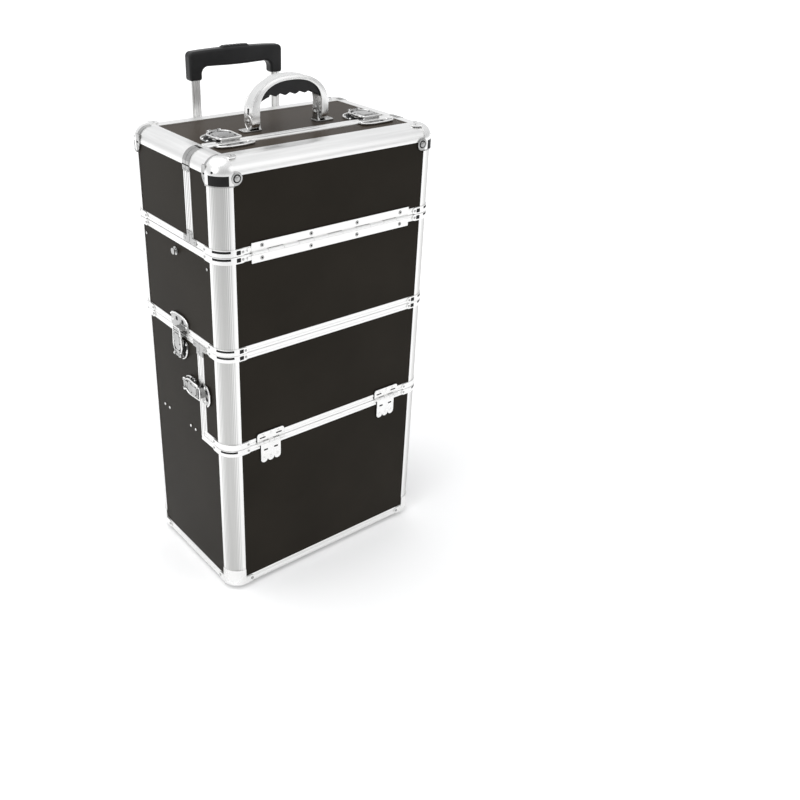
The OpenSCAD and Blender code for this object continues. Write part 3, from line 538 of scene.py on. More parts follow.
def flap_frame():
    low = Z_FLAP + GAP
    high = Z_RIM - RAIL_H
    shape = post(low, Z_RIM, WALL).both()
    for z in (low, high):
        shape.put(front_rail(-FULL, FULL, z, RAIL_H, WALL))
        shape.put(side_rails(POST_R, WING_D, z, RAIL_H, WALL))
    return shape.put(side_strips(WING_D - STRIP_W, low + RAIL_H, high, WALL))


def body_frame():
    low = Z_RIM + SEAT
    high = Z_LID - GAP / 2
    shape = post(low, high, WALL).both()
    for z in (low, high - RAIL_H):
        shape.put(front_rail(-FULL, FULL, z, RAIL_H, WALL))
    shape = shape.front_and_rear()
    for z in (low, high - RAIL_H):
        shape.put(side_rails(POST_R, CASE_D - POST_R, z, RAIL_H, WALL))
    return shape


def trim_outline(grow, end=-TRIM_SIDE):
    """The outside of the rounded top trim, as distances out from the face and up from the top."""
    return [(grow, -TRIM_H)] + arc(-TOP_R, -TOP_R, TOP_R + grow, 0, 90, 14) + [(end, grow)]


def trim_section(end=-TRIM_SIDE):
    return trim_outline(0.0, end) + trim_outline(-LID_WALL, end)[::-1]


def trim_cover(grow, end):
    """A plate of the given thickness over the top trim."""
    return trim_outline(grow, end) + trim_outline(-SINK, end)[::-1]


def lid_frame(depth):
    low = Z_LID + GAP / 2
    flange = Z_TOP - TRIM_H
    shape = post(low, flange - LINE, LID_WALL).both()
    shape.put(front_rail(-FULL, FULL, low, RAIL_H, LID_WALL))
    shape.put(side_rails(POST_R, depth, low, RAIL_H, LID_WALL))
    shape.put(side_strips(depth - STRIP_W, low + RAIL_H, flange, LID_WALL))
    shape.put(bar(trim_section(-POST_R), (-FULL, 0, Z_TOP), (FULL, 0, Z_TOP), -Y, Z, 1))
    shape.put(block((-INNER, POST_R, Z_TOP - LID_WALL), (INNER, TRIM_W, Z_TOP), 1))
    shape.put(bar(trim_section(), (HALF_W, POST_R + LINE, Z_TOP), (HALF_W, depth, Z_TOP), X, Z, 2).both())
    edge = depth - STRIP_W
    crown = [(a, 0.2 + b / 2) for a, b in arc(STRIP_W / 2, 0, STRIP_W / 2, 180, 0, 12)[1:-1]]
    bead = [(0, -LID_WALL), (0, 0.2)] + crown + [(STRIP_W, 0.2), (STRIP_W, -LID_WALL)]
    shape.put(bar(bead, (-INNER, edge, Z_TOP), (INNER, edge, Z_TOP), Y, Z, 1))
    corner = [(max(POST_R + a, 0.2), Z_TOP + b) for a, b in trim_section(-POST_R)]
    return shape.put(post_turn(corner, -90, 0, 14).both())


for name, shape, body, node in (
        ("trolley_frame", lower_frame(), "lower_case", "lower_frame"),
        ("drop_front_frame", flap_frame(), "drop_front", "flap_frame"),
        ("train_case_frame", body_frame(), "upper_case", "body_frame"),
        ("front_lid_trim", lid_frame(FRONT_DEPTH), "front_lid", "front_lid_frame"),
        ("rear_lid_trim", lid_frame(REAR_DEPTH).flipped(), "rear_lid", "rear_lid_frame")):
    piece(name, shape, body, ALUMINIUM, [node], bevel=0.0)


# Corner plates and ball corners

CAP_H = 28.0


def corner_bands(z0, height=RAIL_H, h=RAIL_H, slot=True, windows=True):
    """A band of a given height round each front post, with a riveted leg of height h on each face."""
    face = POST_R + PLATE
    # painted highlight: the band and its legs take the brighter satin chrome
    shape = post_turn(oblong(POST_R - SINK, face, z0, z0 + height), -90, 0, 18, 2)
    leg = [(0, -h / 2)] + arc(PLATE_LEG - 0.45 * h, 0, h / 2, -90, 90, 10) + [(0, h / 2)]
    leg = [(min(a, PLATE_LEG), b) for a, b in leg]
    front = basis((POST_X, 0, z0 + h / 2), -X, Z, -Y)
    side = basis((HALF_W, POST_R, z0 + h / 2), Y, Z, X)
    for place in (front, side):
        shape.put(prism(leg, -SINK, PLATE, 2), place)
        shape.put(rivet(0.2 * h, 0.9).moved(shift(0.74 * PLATE_LEG, 0, PLATE)), place)
    if windows:
        window = rounded_rect(0.8, 7.2, -0.3 * h, 0.3 * h, 0.8)
        shape.put(prism(window, PLATE - 0.05, PLATE + 0.12, 1), front)
    if slot:
        high = z0 + 0.72 * height
        shape.put(post_turn(oblong(face - 0.1, face + 0.1, high - 1.6, high + 1.6), -74, -16, 18, 1))
    return shape.both()


def ball_corners():
    """A chrome ball over each top corner, with a dark band of painted reflection at its foot and a riveted
    ear on each face.
    """
    grow = PLATE + 0.4
    face = POST_R + grow
    foot = Z_TOP - BALL_H
    reflection_band_top = foot + 14.5
    section = [(face, foot + 1.0), (face, reflection_band_top)]
    section += [(max(POST_R + a, 0.15), Z_TOP + b) for a, b in trim_outline(grow, -POST_R)[1:]]
    section += [(max(POST_R + a, 0.15), Z_TOP + b) for a, b in trim_outline(0.05, -POST_R)[:0:-1]]
    section.append((POST_R + 0.05, foot + 1.0))
    # painted highlight: the ball and its tab take the brighter satin chrome
    shape = post_turn(section, -90, 0, 22, 2)
    shape.put(post_turn(oblong(POST_R - 0.1, face + 0.5, foot, foot + 1.6), -90, 0, 18))
    # painted reflection: a dark strip at the ball's foot stands for dark surroundings mirrored there
    shape.put(post_turn(oblong(face - 0.3, face + 0.12, foot + 1.6, reflection_band_top - 0.4), -76, -14, 18, 1))
    turn = math.radians(-28)
    out = Vector((math.cos(turn), math.sin(turn), 0))
    spot = Vector((POST_X, POST_R, Z_TOP - 15.0)) + out * (face - 0.4)
    shape.put(disc(1.5, 0, 0.6, 16, 1), basis(spot, out.cross(Z), Z, out))
    boss_z = Z_TOP - 23.0
    ear = [(2, -9.0)] + arc(5.5, 0, 9.0, -90, 90, 16) + [(2, 9.0)]
    shape.put(prism(ear, -SINK, PLATE), basis((POST_X + 2, 0, boss_z), -X, Z, -Y))
    shape.put(ringed_rivet(8.0), on_front(POST_X - 4.5, boss_z, PLATE))
    moon = [(0, -15.0)] + arc(0, 0, 15.0, -75, 75, 18) + [(0, 15.0)]
    moon = [(0.62 * a, min(b, 9.0)) for a, b in moon]
    shape.put(prism(moon, -SINK, PLATE), on_right(POST_R - 1.0, foot + 16.0))
    shape.put(rivet(2.0, 1.0), on_right(POST_R + 3.6, foot + 8.0, PLATE))
    cover = trim_cover(PLATE, -TOP_R - 2)
    shape.put(bar(cover, (HALF_W, POST_R, Z_TOP), (HALF_W, POST_R + 5, Z_TOP), X, Z))
    tab = [(0, -8)] + arc(5, 0, 8.0, -90, 90, 12) + [(0, 8)]
    shape.put(prism(tab, -SINK, PLATE, 2), basis((POST_X, POST_R - 9.0, Z_TOP), -X, Y, Z))
    shape.put(rivet(1.8, 0.9), on_top(POST_X - 6, POST_R - 9.0, PLATE))
    return shape.both()


caps = corner_bands(Z_BOTTOM, CAP_H, BOTTOM_H, slot=False, windows=False).front_and_rear()
caps.put(corner_bands(Z_FLAP - RAIL_H, windows=False))
caps.put(corner_bands(Z_RIM - RAIL_H).flipped())
flap_plates = corner_bands(Z_FLAP + GAP, slot=False, windows=False).put(corner_bands(Z_RIM - RAIL_H))
body_plates = corner_bands(Z_RIM + SEAT).put(corner_bands(Z_LID - GAP / 2 - RAIL_H)).front_and_rear()
lid_corners = ball_corners().put(corner_bands(Z_LID + GAP / 2))
chrome_piece("trolley_corners", caps, "lower_case", ["lower_corner_caps"], 0.3)
chrome_piece("drop_front_corners", flap_plates, "drop_front", ["flap_corner_plates"], 0.3)
chrome_piece("train_case_corners", body_plates, "upper_case", ["body_corner_plates"], 0.3)
chrome_piece("front_lid_ball_corners", lid_corners, "front_lid", ["front_lid_corners"], 0.3)
chrome_piece("rear_lid_ball_corners", lid_corners.flipped(), "rear_lid", ["rear_lid_corners"], 0.3)


# Small brackets where the seams meet the rails

def seam_brackets(edge):
    """On both sides of a lid: a strap over the trim and an angle plate at the seam's foot."""
    flange = Z_TOP - TRIM_H
    foot = Z_LID + GAP / 2 + RAIL_H
    shape = bar(trim_cover(THIN, -TOP_R - 3), (HALF_W, edge - 8, Z_TOP), (HALF_W, edge, Z_TOP), X, Z)
    tail = [(0, 0), (-8, 0), (-8, -4)] + arc(-4, -6, 4, 180, 360, 10) + [(0, -4)]
    shape.put(prism(tail, -SINK, THIN), on_right(edge, flange + 2))
    shape.put(rivet(1.7, 0.9), on_right(edge - 4, flange - 5, THIN))
    angle = [(0, 9), (-6.2, 9), (-6.2, 0), (-16, 0), (-16, -8), (0, -8)]
    shape.put(prism(angle, -SINK, THIN), on_right(edge, foot))
    shape.put(rivet(1.6, 0.8), on_right(edge - 11.5, foot - 4, THIN))
    shape.put(rivet(1.4, 0.8), on_right(edge - 3.1, foot + 5, THIN))
    return shape.both()


def rim_angles(edge, direction):
    """A small angle plate on both sides, where an upright strip meets the rail above it."""
    drop = -RAIL_H - 9
    outline = [(0, 0), (-17, 0), (-17, -9), (-STRIP_W, -9), (-STRIP_W, drop), (0, drop)]
    shape = prism([(direction * a, b) for a, b in outline], -SINK, THIN)
    shape.put(rivet(1.6, 0.8), shift(-direction * 12.0, -4.5, THIN))
    shape.put(rivet(1.5, 0.8), shift(-direction * 3.3, -RAIL_H - 4.5, THIN))
    return shape.moved(on_right(edge, Z_RIM - 1)).both()


chrome_piece("front_lid_seam_brackets", seam_brackets(FRONT_DEPTH), "front_lid")
chrome_piece("rear_lid_seam_brackets", seam_brackets(REAR_DEPTH).flipped(), "rear_lid")
chrome_piece("drop_front_rim_angles", rim_angles(WING_D, 1), "drop_front")
chrome_piece("trolley_rim_angles", rim_angles(FIXED_Y, -1), "lower_case")


# Hinges, with the pin at the origin and along X

KNUCKLE_R = 2.4
PIN_R = 1.0
HINGE_OUT = 2.6
LEAF_T = 1.5
LID_HINGE_HALF = 133.0
FLAP_HINGE_X = 108.0
FLAP_HINGE_HALF = 23.0
HINGE_FACE = basis((0, HINGE_OUT, 0), X, Z, -Y)
HINGE_MATS = [ALU_X, DARK_RECESS_AND_SHADE, CHROME]


def hinge_plate(x0, x1, sign, z0, z1, thin=0.0):
    low, high = sorted((sign * z0, sign * z1))
    return block((x0, HINGE_OUT - LEAF_T + thin, low), (x1, HINGE_OUT, high))


def hinge_pin(half):
    return tube([(-half, 0, 0), (half, 0, 0)], PIN_R, 12)


def knuckles(half, count, first, sign):
    """Every other knuckle along the pin, and the webs that join them to their leaf."""
    shape = Shape()
    seg = 2 * half / count
    for i in range(first, count, 2):
        x0 = i * seg - half + 0.2
        x1 = x0 + seg - 0.4
        shape.put(tube([(x0, 0, 0), (x1, 0, 0)], KNUCKLE_R, 20))
        shape.put(hinge_plate(x0, x1, sign, 0, 3.2))
    return shape


def piano_leaf(sign, first):
    """A leaf of the long lid hinge, with a short tab past each end and four ringed rivets."""
    half = LID_HINGE_HALF
    shape = knuckles(half, 11, first, sign)
    shape.put(hinge_plate(-half, half, sign, 3.0, 14.0))
    shape.put(hinge_plate(half, half + 5.5, sign, 3.4, 8.5, 0.3).both())
    for i in range(4):
        head = basis(((half - 16) * (2 * i / 3 - 1), HINGE_OUT - LEAF_T, sign * 8.6), X, Z, -Y)
        shape.put(lathe([(0, -0.2), (3.0, -0.2), (3.0, 0.15), (2.6, 0.3), (0, 0.3)], 18, 2), head)
        shape.put(disc(1.3, 0.2, 0.42, 14, 1), head)
    return shape


def leaf_slot(x0, x1, z0, z1, r):
    return prism(rounded_rect(x0, x1, z0, z1, r), LEAF_T - 0.1, LEAF_T + 0.15, 1).moved(HINGE_FACE)


def flap_upper_leaf():
    half = FLAP_HINGE_HALF
    shape = knuckles(half, 5, 0, 1)
    outline = [(-half, 3), (half, 3)] + arc(half - 4, 12, 4, 0, 90, 6) + arc(-half + 4, 12, 4, 90, 180, 6)
    shape.put(prism(outline, 0, LEAF_T), HINGE_FACE)
    # painted shadow: a dark plate a little larger than the leaf shows as a dark outline round it
    shape.put(prism([(x * 1.04, 9.5 + (z - 9.5) * 1.12) for x, z in outline], 0, 0.5, 1), HINGE_FACE)
    for x in (-half + 9, half - 9):
        shape.put(leaf_slot(x - 5, x + 5, 7.2, 9.2, 0.9))
    for x in (-13, 0, 13):
        shape.put(rivet(1.9, 1.0).moved(shift(x, 12, LEAF_T)), HINGE_FACE)
    return shape


def flap_lower_leaf():
    """The lower leaf ends in three round lobes."""
    half = FLAP_HINGE_HALF - 6
    lobe = half / 1.5
    shape = knuckles(FLAP_HINGE_HALF, 5, 1, -1)
    outline = [(half, -3), (half, -28)]
    for x in (lobe, 0, -lobe):
        outline += arc(x, -29, lobe / 2, 0, -180, 8)
        shape.put(rivet(2.1, 1.1).moved(shift(x, -27, LEAF_T)), HINGE_FACE)
    outline += [(-half, -28), (-half, -3)]
    shape.put(prism(outline, 0, LEAF_T), HINGE_FACE)
    # painted shadow: a dark plate a little larger than the leaf shows as a dark outline round it
    shape.put(prism([(x * 1.05, z * 1.03) for x, z in outline], 0, 0.5, 1), HINGE_FACE)
    for x in (-lobe / 1.3, lobe / 1.3):
        shape.put(leaf_slot(x - 3.4, x + 3.4, -15, -12.4, 1.2))
    return shape.put(hinge_pin(FLAP_HINGE_HALF))


at_lid_hinge = shift(0, -HINGE_OUT, Z_LID)
at_flap_hinge = shift(FLAP_HINGE_X, -HINGE_OUT, Z_FLAP + GAP / 2)
lower_leaves = piano_leaf(-1, 1).put(hinge_pin(LID_HINGE_HALF)).moved(at_lid_hinge).front_and_rear()
upper_leaf = piano_leaf(1, 0).moved(at_lid_hinge)
for name, shape, body, node in (
        ("train_case_hinge_leaves", lower_leaves, "upper_case", "body_hinge_leaves"),
        ("front_lid_hinge_leaf", upper_leaf, "front_lid", "front_lid_leaf"),
        ("rear_lid_hinge_leaf", upper_leaf.flipped(), "rear_lid", "rear_lid_leaf")):
    piece(name, shape, body, HINGE_MATS, [node], bevel=0.2)
for name, leaf, body, node in (
        ("drop_front_hinge_tops", flap_upper_leaf(), "drop_front", "flap_hinge_upper"),
        ("drop_front_hinge_feet", flap_lower_leaf(), "lower_case", "flap_hinge_lower")):
    piece(name, leaf.moved(at_flap_hinge).both(), body, [SATIN_AND_HIGHLIGHT, DARK_RECESS_AND_SHADE], [node], bevel=0.25)


# Latches, with u towards the keeper, v across and w out from the frame

LEVER = 38.0
RISE = 6.0
WIRE_U = 5.6
BASE_T = 1.0
INLAY = (BASE_T - 0.1, BASE_T + 0.15)
# Half widths of a latch: its base, its lever and its keeper
LATCHES = {"flap": (14.0, 13.0, 16.0), "case": (19.0, 13.0, 24.0), "lid": (26.0, 19.0, 28.0)}


def half_oval(shoulder, reach, half, steps=24):
    """The rounded tail of a latch base, from one side round to the other."""
    turns = [math.pi * i / steps for i in range(steps + 1)]
    return [(shoulder - reach * math.sin(a), half * math.cos(a)) for a in turns]


def latch_base(half):
    """A base plate with a round rimmed tail, a dark inlay, ears for the lever's pin and rivets."""
    front = -13.5
    shoulder = -24.0
    rim = 3.2
    reach = LEVER + 6 + shoulder
    oval = half_oval(shoulder, reach, half)
    outline = [(front, -half + 1.5), (front, half - 1.5), (front - 1.5, half)]
    outline += oval + [(front - 1.5, -half)]
    shape = prism(outline, -0.7, BASE_T)
    inlay = half_oval(shoulder, reach - rim, half - rim)
    inlay += [(front - 2, -half + rim), (front - 2, half - rim)]
    shape.put(prism(inlay, *INLAY, 1))
    # painted highlight: the rim and the rivets take the brighter satin chrome
    shape.put(tube([(u, v * (1 - 0.8 / half), 1.5) for u, v in oval], 1.2, 8, 2))
    ear = [(-LEVER - 4.5, 1), (-LEVER + 4.5, 1), (-LEVER + 3.0, RISE)]
    ear += arc(-LEVER, RISE, 3.0, 0, 180, 10)[1:]
    for v in (-7.3, 5.3):
        shape.put(bar(ear, (0, v, 0), (0, v + 2.0, 0), X, Z))
    shape.put(tube([(-LEVER, -7.6, RISE), (-LEVER, 7.6, RISE)], 1.2, 14))
    for side in (-1, 1):
        for u in (-30.0, -18.0):
            shape.put(rivet(1.8, 1.0, 2), shift(u, side * (half - 4.4), BASE_T))
    return shape


def latch_lever(half):
    """A pressed lever with an arched heel round its knuckle and a wire bail that reaches over the keeper."""
    heel = -22.0
    reach = LEVER - 0.5 + heel
    ear_side = 7.7
    low = RISE - 0.75
    high = RISE + 0.75
    nose = [(heel, half - 0.6), (-14, half - 1.0), (-3, half - 1.8), (-0.8, half - 3.6)]
    back = half_oval(heel, reach - 7.5, half - 4.2)
    shape = prism(nose + [(u, -v) for u, v in reversed(nose)] + back[::-1], low, high)
    outer = [(u, v) for u, v in half_oval(heel, reach, half - 0.5, 40) if v >= ear_side]
    inner = [(u, v) for u, v in half_oval(heel, reach - 3.2, half - 3.6, 40) if v >= ear_side]
    flank = [(heel, -3.2), (-5, -3.2), (-2.5, -1.0), (-2.5, 0.3), (heel, 0.3)]
    for side in (-1, 1):
        shape.put(prism([(u, side * v) for u, v in outer + inner[::-1]], low, high))
        # painted highlight: the edge tubes, the knuckles and the wire take the brighter satin chrome
        shape.put(tube([(u, side * (v - 0.6), RISE + 0.5) for u, v in outer[::-1] + nose], 1.0, 8, 2))
        at = side * (half - 2.2)
        shape.put(bar(flank, (0, at - 0.5, RISE), (0, at + 0.5, RISE), X, Z))
        knuckle = [(-LEVER, side * ear_side, RISE), (-LEVER, side * (ear_side + 2.2), RISE)]
        shape.put(tube(knuckle, 2.6, 20, 2))
        for u in (-7.0, -19.0):
            shape.put(disc(1.4, 0, 0.25, 14, 1), shift(u, side * (half - 6.0), high - 0.05))
    ridge = [(-half * 0.46, 0.7), (-half * 0.40, 1.7), (half * 0.40, 1.7), (half * 0.46, 0.7)]
    shape.put(bar(ridge, (heel + 2.5, 0, RISE), (-4.0, 0, RISE), Y, Z))
    shape.put(tube([(-LEVER, -4.9, RISE), (-LEVER, 4.9, RISE)], 2.0, 18))
    tongue_end = heel - reach + 7.0
    shape.put(prism([(-LEVER, -4.9), (-LEVER, 4.9), (tongue_end, 4.9), (tongue_end, -4.9)], low, high))
    v = half - 3.5
    bend = 2.4
    wire = [(-6, -v), (-2, -v)] + arc(WIRE_U - bend, -v + bend, bend, -90, 0, 5)
    wire += [(a, -b) for a, b in reversed(wire)]
    return shape.put(tube([(a, b, RISE + 1.05) for a, b in wire], 1.0, 10, 2))


def latch_hook(half, lever):
    """A keeper plate with a rolled far edge, two dark slots and a lip for the wire."""
    step = RAIL_H + 0.4
    end = 24.0
    crown = [(0.6, half - 3), (3, half), (end - 7, half), (end - 2.6, half - 5), (end, half * 0.35)]
    shape = prism(crown + [(u, -v) for u, v in reversed(crown)], -0.1, BASE_T)
    shape.put(block((step, -half + 4, -0.75), (end - 5.0, half - 4, 0)))
    inner = lever - 5.5
    lip = [(1.2, 0.9), (1.2, RISE - 0.6)] + arc(2.7, RISE - 0.6, 1.5, 180, 0, 8)[1:] + [(4.2, 0.9)]
    shape.put(bar(lip, (0, -inner, 0), (0, inner, 0), X, Z))
    roll = [(end - 7, half - 0.6), (end - 3.2, half - 5), (end - 0.8, half * 0.35)]
    roll += [(u, -v) for u, v in reversed(roll)]
    # painted highlight: the roll and the rivets take the brighter satin chrome
    shape.put(tube([(u, v, 1.5) for u, v in roll], 1.3, 10, 2))
    for side in (-1, 1):
        shape.put(rivet(2.0, 1.1, 2), shift(9.5, side * (half - 5.5), BASE_T))
        v = side * half * 0.34
        shape.put(prism(rounded_rect(11.5, 17.5, v - 3.0, v + 3.0, 2.0), *INLAY, 1))
    return shape


LATCH_PLACES = {
    "flap": basis((HALF_W, WING_D + GAP / 2, Z_FLAP + 73), -Y, -Z, X),
    "case": basis((HALF_W, LATCH_Y, Z_RIM + SEAT / 2), Z, -Y, X),
    "lid": basis((HALF_W - 64, SEAM_Y, Z_TOP), -Y, X, Z),
}
latch_bases = {word: latch_base(LATCHES[word][0]).moved(LATCH_PLACES[word]).both() for word in LATCHES}
side_bases = Shape().put(latch_bases["flap"]).put(latch_bases["case"])
chrome_piece("side_latch_bases", side_bases, "lower_case", ["lower_latch_bases"])
chrome_piece("top_latch_bases", latch_bases["lid"], "rear_lid", ["lid_latch_bases"])

for word, body in (("flap", "drop_front"), ("case", "upper_case"), ("lid", "front_lid")):
    lever_half, keeper_half = LATCHES[word][1:]
    keepers = latch_hook(keeper_half, lever_half).moved(LATCH_PLACES[word]).both()
    chrome_piece(word + "_keepers", keepers, body, [word + "_hooks"])
    right = latch_lever(lever_half).moved(LATCH_PLACES[word])
    for side, shape in (("right", right), ("left", right.mirrored())):
        lever = "%s_%s_lever" % (side, word)
        chrome_piece("%s_%s_latch" % (side, word), shape, lever, [lever])


# Carry handle

CARRY_Y = SEAM_Y + 38
CARRY_HALF = 63.0
Z_CARRY = Z_TOP + 68
Z_PIVOT = Z_TOP + 12
BOW_W = 22.0
BOW_T = 6.0
BOW_LIP = 12.0
BOW_R = 48.0
BOW_SQUARE = 2.3
Z_SPRING = Z_CARRY - BOW_R


def bow_arch(half_x, half_z, low, steps=30):
    """Points and normals of the arch's right half, from its crown to a height above the spring line."""
    power = 2 / BOW_SQUARE
    stations = []
    last = math.asin((low / half_z) ** (1 / power))
    for i in range(steps + 1):
        a = math.pi / 2 + (last - math.pi / 2) * i / steps
        c = max(math.cos(a), 0.0) ** power
        s = math.sin(a) ** power
        out = Vector((c ** (BOW_SQUARE - 1) / half_x, s ** (BOW_SQUARE - 1) / half_z)).normalized()
        stations.append(((half_x * c, Z_SPRING + half_z * s), out))
    return stations


def bow_path():
    """Points along the bow's outside, their outward direction, a share of the width and the lips' depth."""
    right = []
    for place, out in bow_arch(CARRY_HALF, BOW_R, 0.0):
        right.append((place, out, 1.0, BOW_LIP + (BOW_T - BOW_LIP) * out[1] ** 1.5))
    for drop in (0.15, 0.40, 0.62, 0.80, 0.92, 0.98):
        share = math.sqrt(1 - drop * drop)
        right.append(((CARRY_HALF, Z_PIVOT - drop * BOW_W / 2), (1, 0), share, BOW_LIP))
    left = [((-x, z), (-nx, nz), share, lip) for (x, z), (nx, nz), share, lip in reversed(right[1:])]
    return left + right


def bow_section(lip):
    """Half round back with rolled edges, and a lip of the given depth along each side."""
    half = BOW_W / 2
    back = [(-half, -lip), (-half, -1.4), (-half + 0.9, -0.2), (-half + 2.4, -0.2), (-half + 3.2, -0.8)]
    inside = [(half - 1.8, -lip), (half - 2.4, -2.8)]
    return back + [(0, -0.25)] + mirror_back(back) + inside + mirror_back(inside)


def handle_bow():
    """A channel with deep lips, an eye at each leg and a slot above it."""
    rings = []
    for (x, z), (nx, nz), share, lip in bow_path():
        rings.append([(x + nx * out, CARRY_Y + y * share, z + nz * out) for y, out in bow_section(lip)])
    shape = skin(rings)
    eye_ring = [(2.6, 0), (8.0, 0), (8.4, 0.5), (8.4, BOW_T - 0.5), (8.0, BOW_T), (2.6, BOW_T)]
    for side in (-1, 1):
        eye = basis((side * (CARRY_HALF - BOW_T), CARRY_Y, Z_PIVOT), Y, Z, X * side)
        shape.put(ring_lathe(eye_ring, 32), eye)
        notch = basis((side * CARRY_HALF, CARRY_Y, Z_PIVOT), Y, Z, X * side)
        shape.put(prism(rounded_rect(-1.0, 1.0, 9.0, 17.0, 0.9), -0.3, 0.12, 1), notch)
    return shape


def handle_grip():
    """The finger grip in the crown of the bow: waves along its underside, ends drawn down along the legs."""
    low_z = Z_CARRY - 26.0
    tips = 9.0
    finger = 16.0
    steps = 96
    arch = bow_arch(CARRY_HALF - 5.0, BOW_R - 4.0, low_z - tips - Z_SPRING)
    crown = [place for place, out in arch]
    half = crown[-1][0] - 1.5
    waves = []
    for i in range(steps + 1):
        x = half - 2 * half * i / steps
        out = max(0.0, abs(x) / half - 0.62) / 0.38
        lift = 0.0 if out else 1.4 * (1 - math.cos(2 * math.pi * (x / finger + 0.5)))
        waves.append((x, low_z + lift - tips * out ** 1.3))
    half_y = BOW_W / 2 - 2.6
    outline = mirror_back(crown[1:]) + crown + waves
    return bar(outline, (0, CARRY_Y - half_y, 0), (0, CARRY_Y + half_y, 0), X, Z)


def handle_brackets():
    """A riveted base under each leg, with an ear and a pin through the leg's eye."""
    mid = CARRY_HALF - BOW_T / 2
    inside = CARRY_HALF - BOW_LIP - 0.5
    outside = inside - 3.2
    shape = prism(rounded_rect(-15, 15, -9, 9, 5.0), -0.7, PLATE).moved(on_top(mid, CARRY_Y))
    ear = [(-8, PLATE), (8, PLATE), (6.0, 5.0)] + arc(0, 12, 6.0, 0, 180, 14) + [(-6.0, 5.0)]
    shape.put(bar(ear, (outside, CARRY_Y, Z_TOP), (inside, CARRY_Y, Z_TOP), Y, Z))
    pin = [(outside - 0.1, CARRY_Y, Z_PIVOT), (CARRY_HALF + 0.4, CARRY_Y, Z_PIVOT)]
    shape.put(tube(pin, 2.45, 18))
    shape.put(rivet(3.4, 1.6), basis((outside, CARRY_Y, Z_PIVOT), Y, Z, -X))
    shape.put(rivet(3.0, 1.4), basis((CARRY_HALF + 0.2, CARRY_Y, Z_PIVOT), Y, Z, X))
    for dx in (-11.0, 11.0):
        shape.put(rivet(2.1, 1.0), on_top(mid + dx, CARRY_Y, PLATE))
    return shape.both()


piece("carry_bow", handle_bow(), "carry_handle", [SATIN_AND_HIGHLIGHT, DARK_RECESS_AND_SHADE], ["handle_bow"], bevel=0.25)
piece("carry_grip", handle_grip(), "carry_handle", [BLACK], ["handle_grip"], bevel=0.7)
chrome_piece("carry_brackets", handle_brackets(), "rear_lid", ["handle_brackets"], 0.25)


# Pull handle

TUBE_X = 67.0
TUBE_Y = CASE_D + 14.5
Z_GRIP = Z_TOP + 44
Z_GRIP_TOP = Z_GRIP + 38
GRIP_HALF = 77.0
GRIP_D = 16.0


def pull_grip():
    """A slightly arched bar with down-turned ends, outlined from the front."""
    inner = GRIP_HALF - 19.5
    outer_r = 7.0
    inner_r = 10.0
    bar_z = Z_GRIP_TOP - 21
    right = [(inner, Z_GRIP - 1.0), (GRIP_HALF, Z_GRIP - 1.0), (GRIP_HALF, Z_GRIP + 10)]
    right += arc(GRIP_HALF - outer_r, Z_GRIP_TOP - outer_r + 0.4, outer_r, 0, 84, 8)
    stations = (56, 44, 33, 22, 11, 0, -11, -22, -33, -44, -56)
    crown = [(x, Z_GRIP_TOP + 2.4 - 1.6 * (x / 68.0) ** 2) for x in stations]
    belly = [(x, bar_z - 1.0 + (x / 40.0) ** 2) for x in stations[-3:1:-1]]
    armpit = arc(-inner + inner_r, bar_z - inner_r, inner_r, 180, 90, 8)
    outline = right + crown + mirror_back(right) + armpit + belly + mirror_back(armpit)
    return bar(outline, (0, TUBE_Y - GRIP_D / 2, 0), (0, TUBE_Y + GRIP_D / 2, 0), X, Z)


def release_button():
    """A button that narrows towards its ribbed top."""
    foot = rounded_rect(-24, 24, -5, 5, 4.0)
    top = rounded_rect(-20.5, 20.5, -3.8, 3.8, 3.2)
    high = Z_GRIP_TOP + 4.6
    levels = ((foot, Z_GRIP_TOP - 4.5), (foot, high - 2.2), (top, high))
    shape = skin([[(x, TUBE_Y + y, z) for x, y in outline] for outline, z in levels])
    for x in (-12, -6, 0, 6, 12):
        rib = rounded_rect(x - 0.8, x + 0.8, -2.8, 2.8, 0.7)
        shape.put(prism(rib, -0.1, 0.35), shift(0, TUBE_Y, high))
    return shape


def twin_tubes(w, d, r, groove, bore, z0, z1):
    """Two open tubes with a groove down their front and rear; the bore is a share of the outside."""
    outline = rounded_rect(-w / 2, w / 2, -d / 2, d / 2, r)
    half = len(outline) // 2
    front = [(-1.8, -d / 2), (-1.2, -d / 2 + groove), (1.2, -d / 2 + groove), (1.8, -d / 2)]
    outline = front + outline[:half] + [(-x, -y) for x, y in front] + outline[half:]
    inner = [(x * bore[0], y * bore[1]) for x, y in outline]
    levels = ((outline, z0), (outline, z1), (inner, z1), (inner, z0))
    shape = skin([[(x, y, z) for x, y in points] for points, z in levels], loop=True)
    return shape.moved(shift(TUBE_X, TUBE_Y, 0)).both()


guide_top = Z_RIM - 4
pull_tubes = twin_tubes(14, 12, 3, 0.8, (0.80, 0.76), guide_top - 60, Z_GRIP + 4)
guides = twin_tubes(18, 16, 4, 0.7, (0.844, 0.825), Z_BOTTOM + 28, guide_top)
piece("trolley_grip", pull_grip(), "pull_handle", [BLACK], ["pull_grip"], bevel=3.6, segs=4)
piece("trolley_button", release_button(), "release_button", [BLACK], ["release_button"],
      bevel=0.5)
piece("trolley_tubes", pull_tubes, "pull_handle", [ALU_Z], ["inner_tubes"], bevel=0.15)
piece("trolley_guides", guides, "lower_case", [ALU_Z], ["guide_tubes"], bevel=0.15)


# Wheels

WHEEL_R = 25.0
WHEEL_X = 123.0
WHEEL_Y = CASE_D - 14


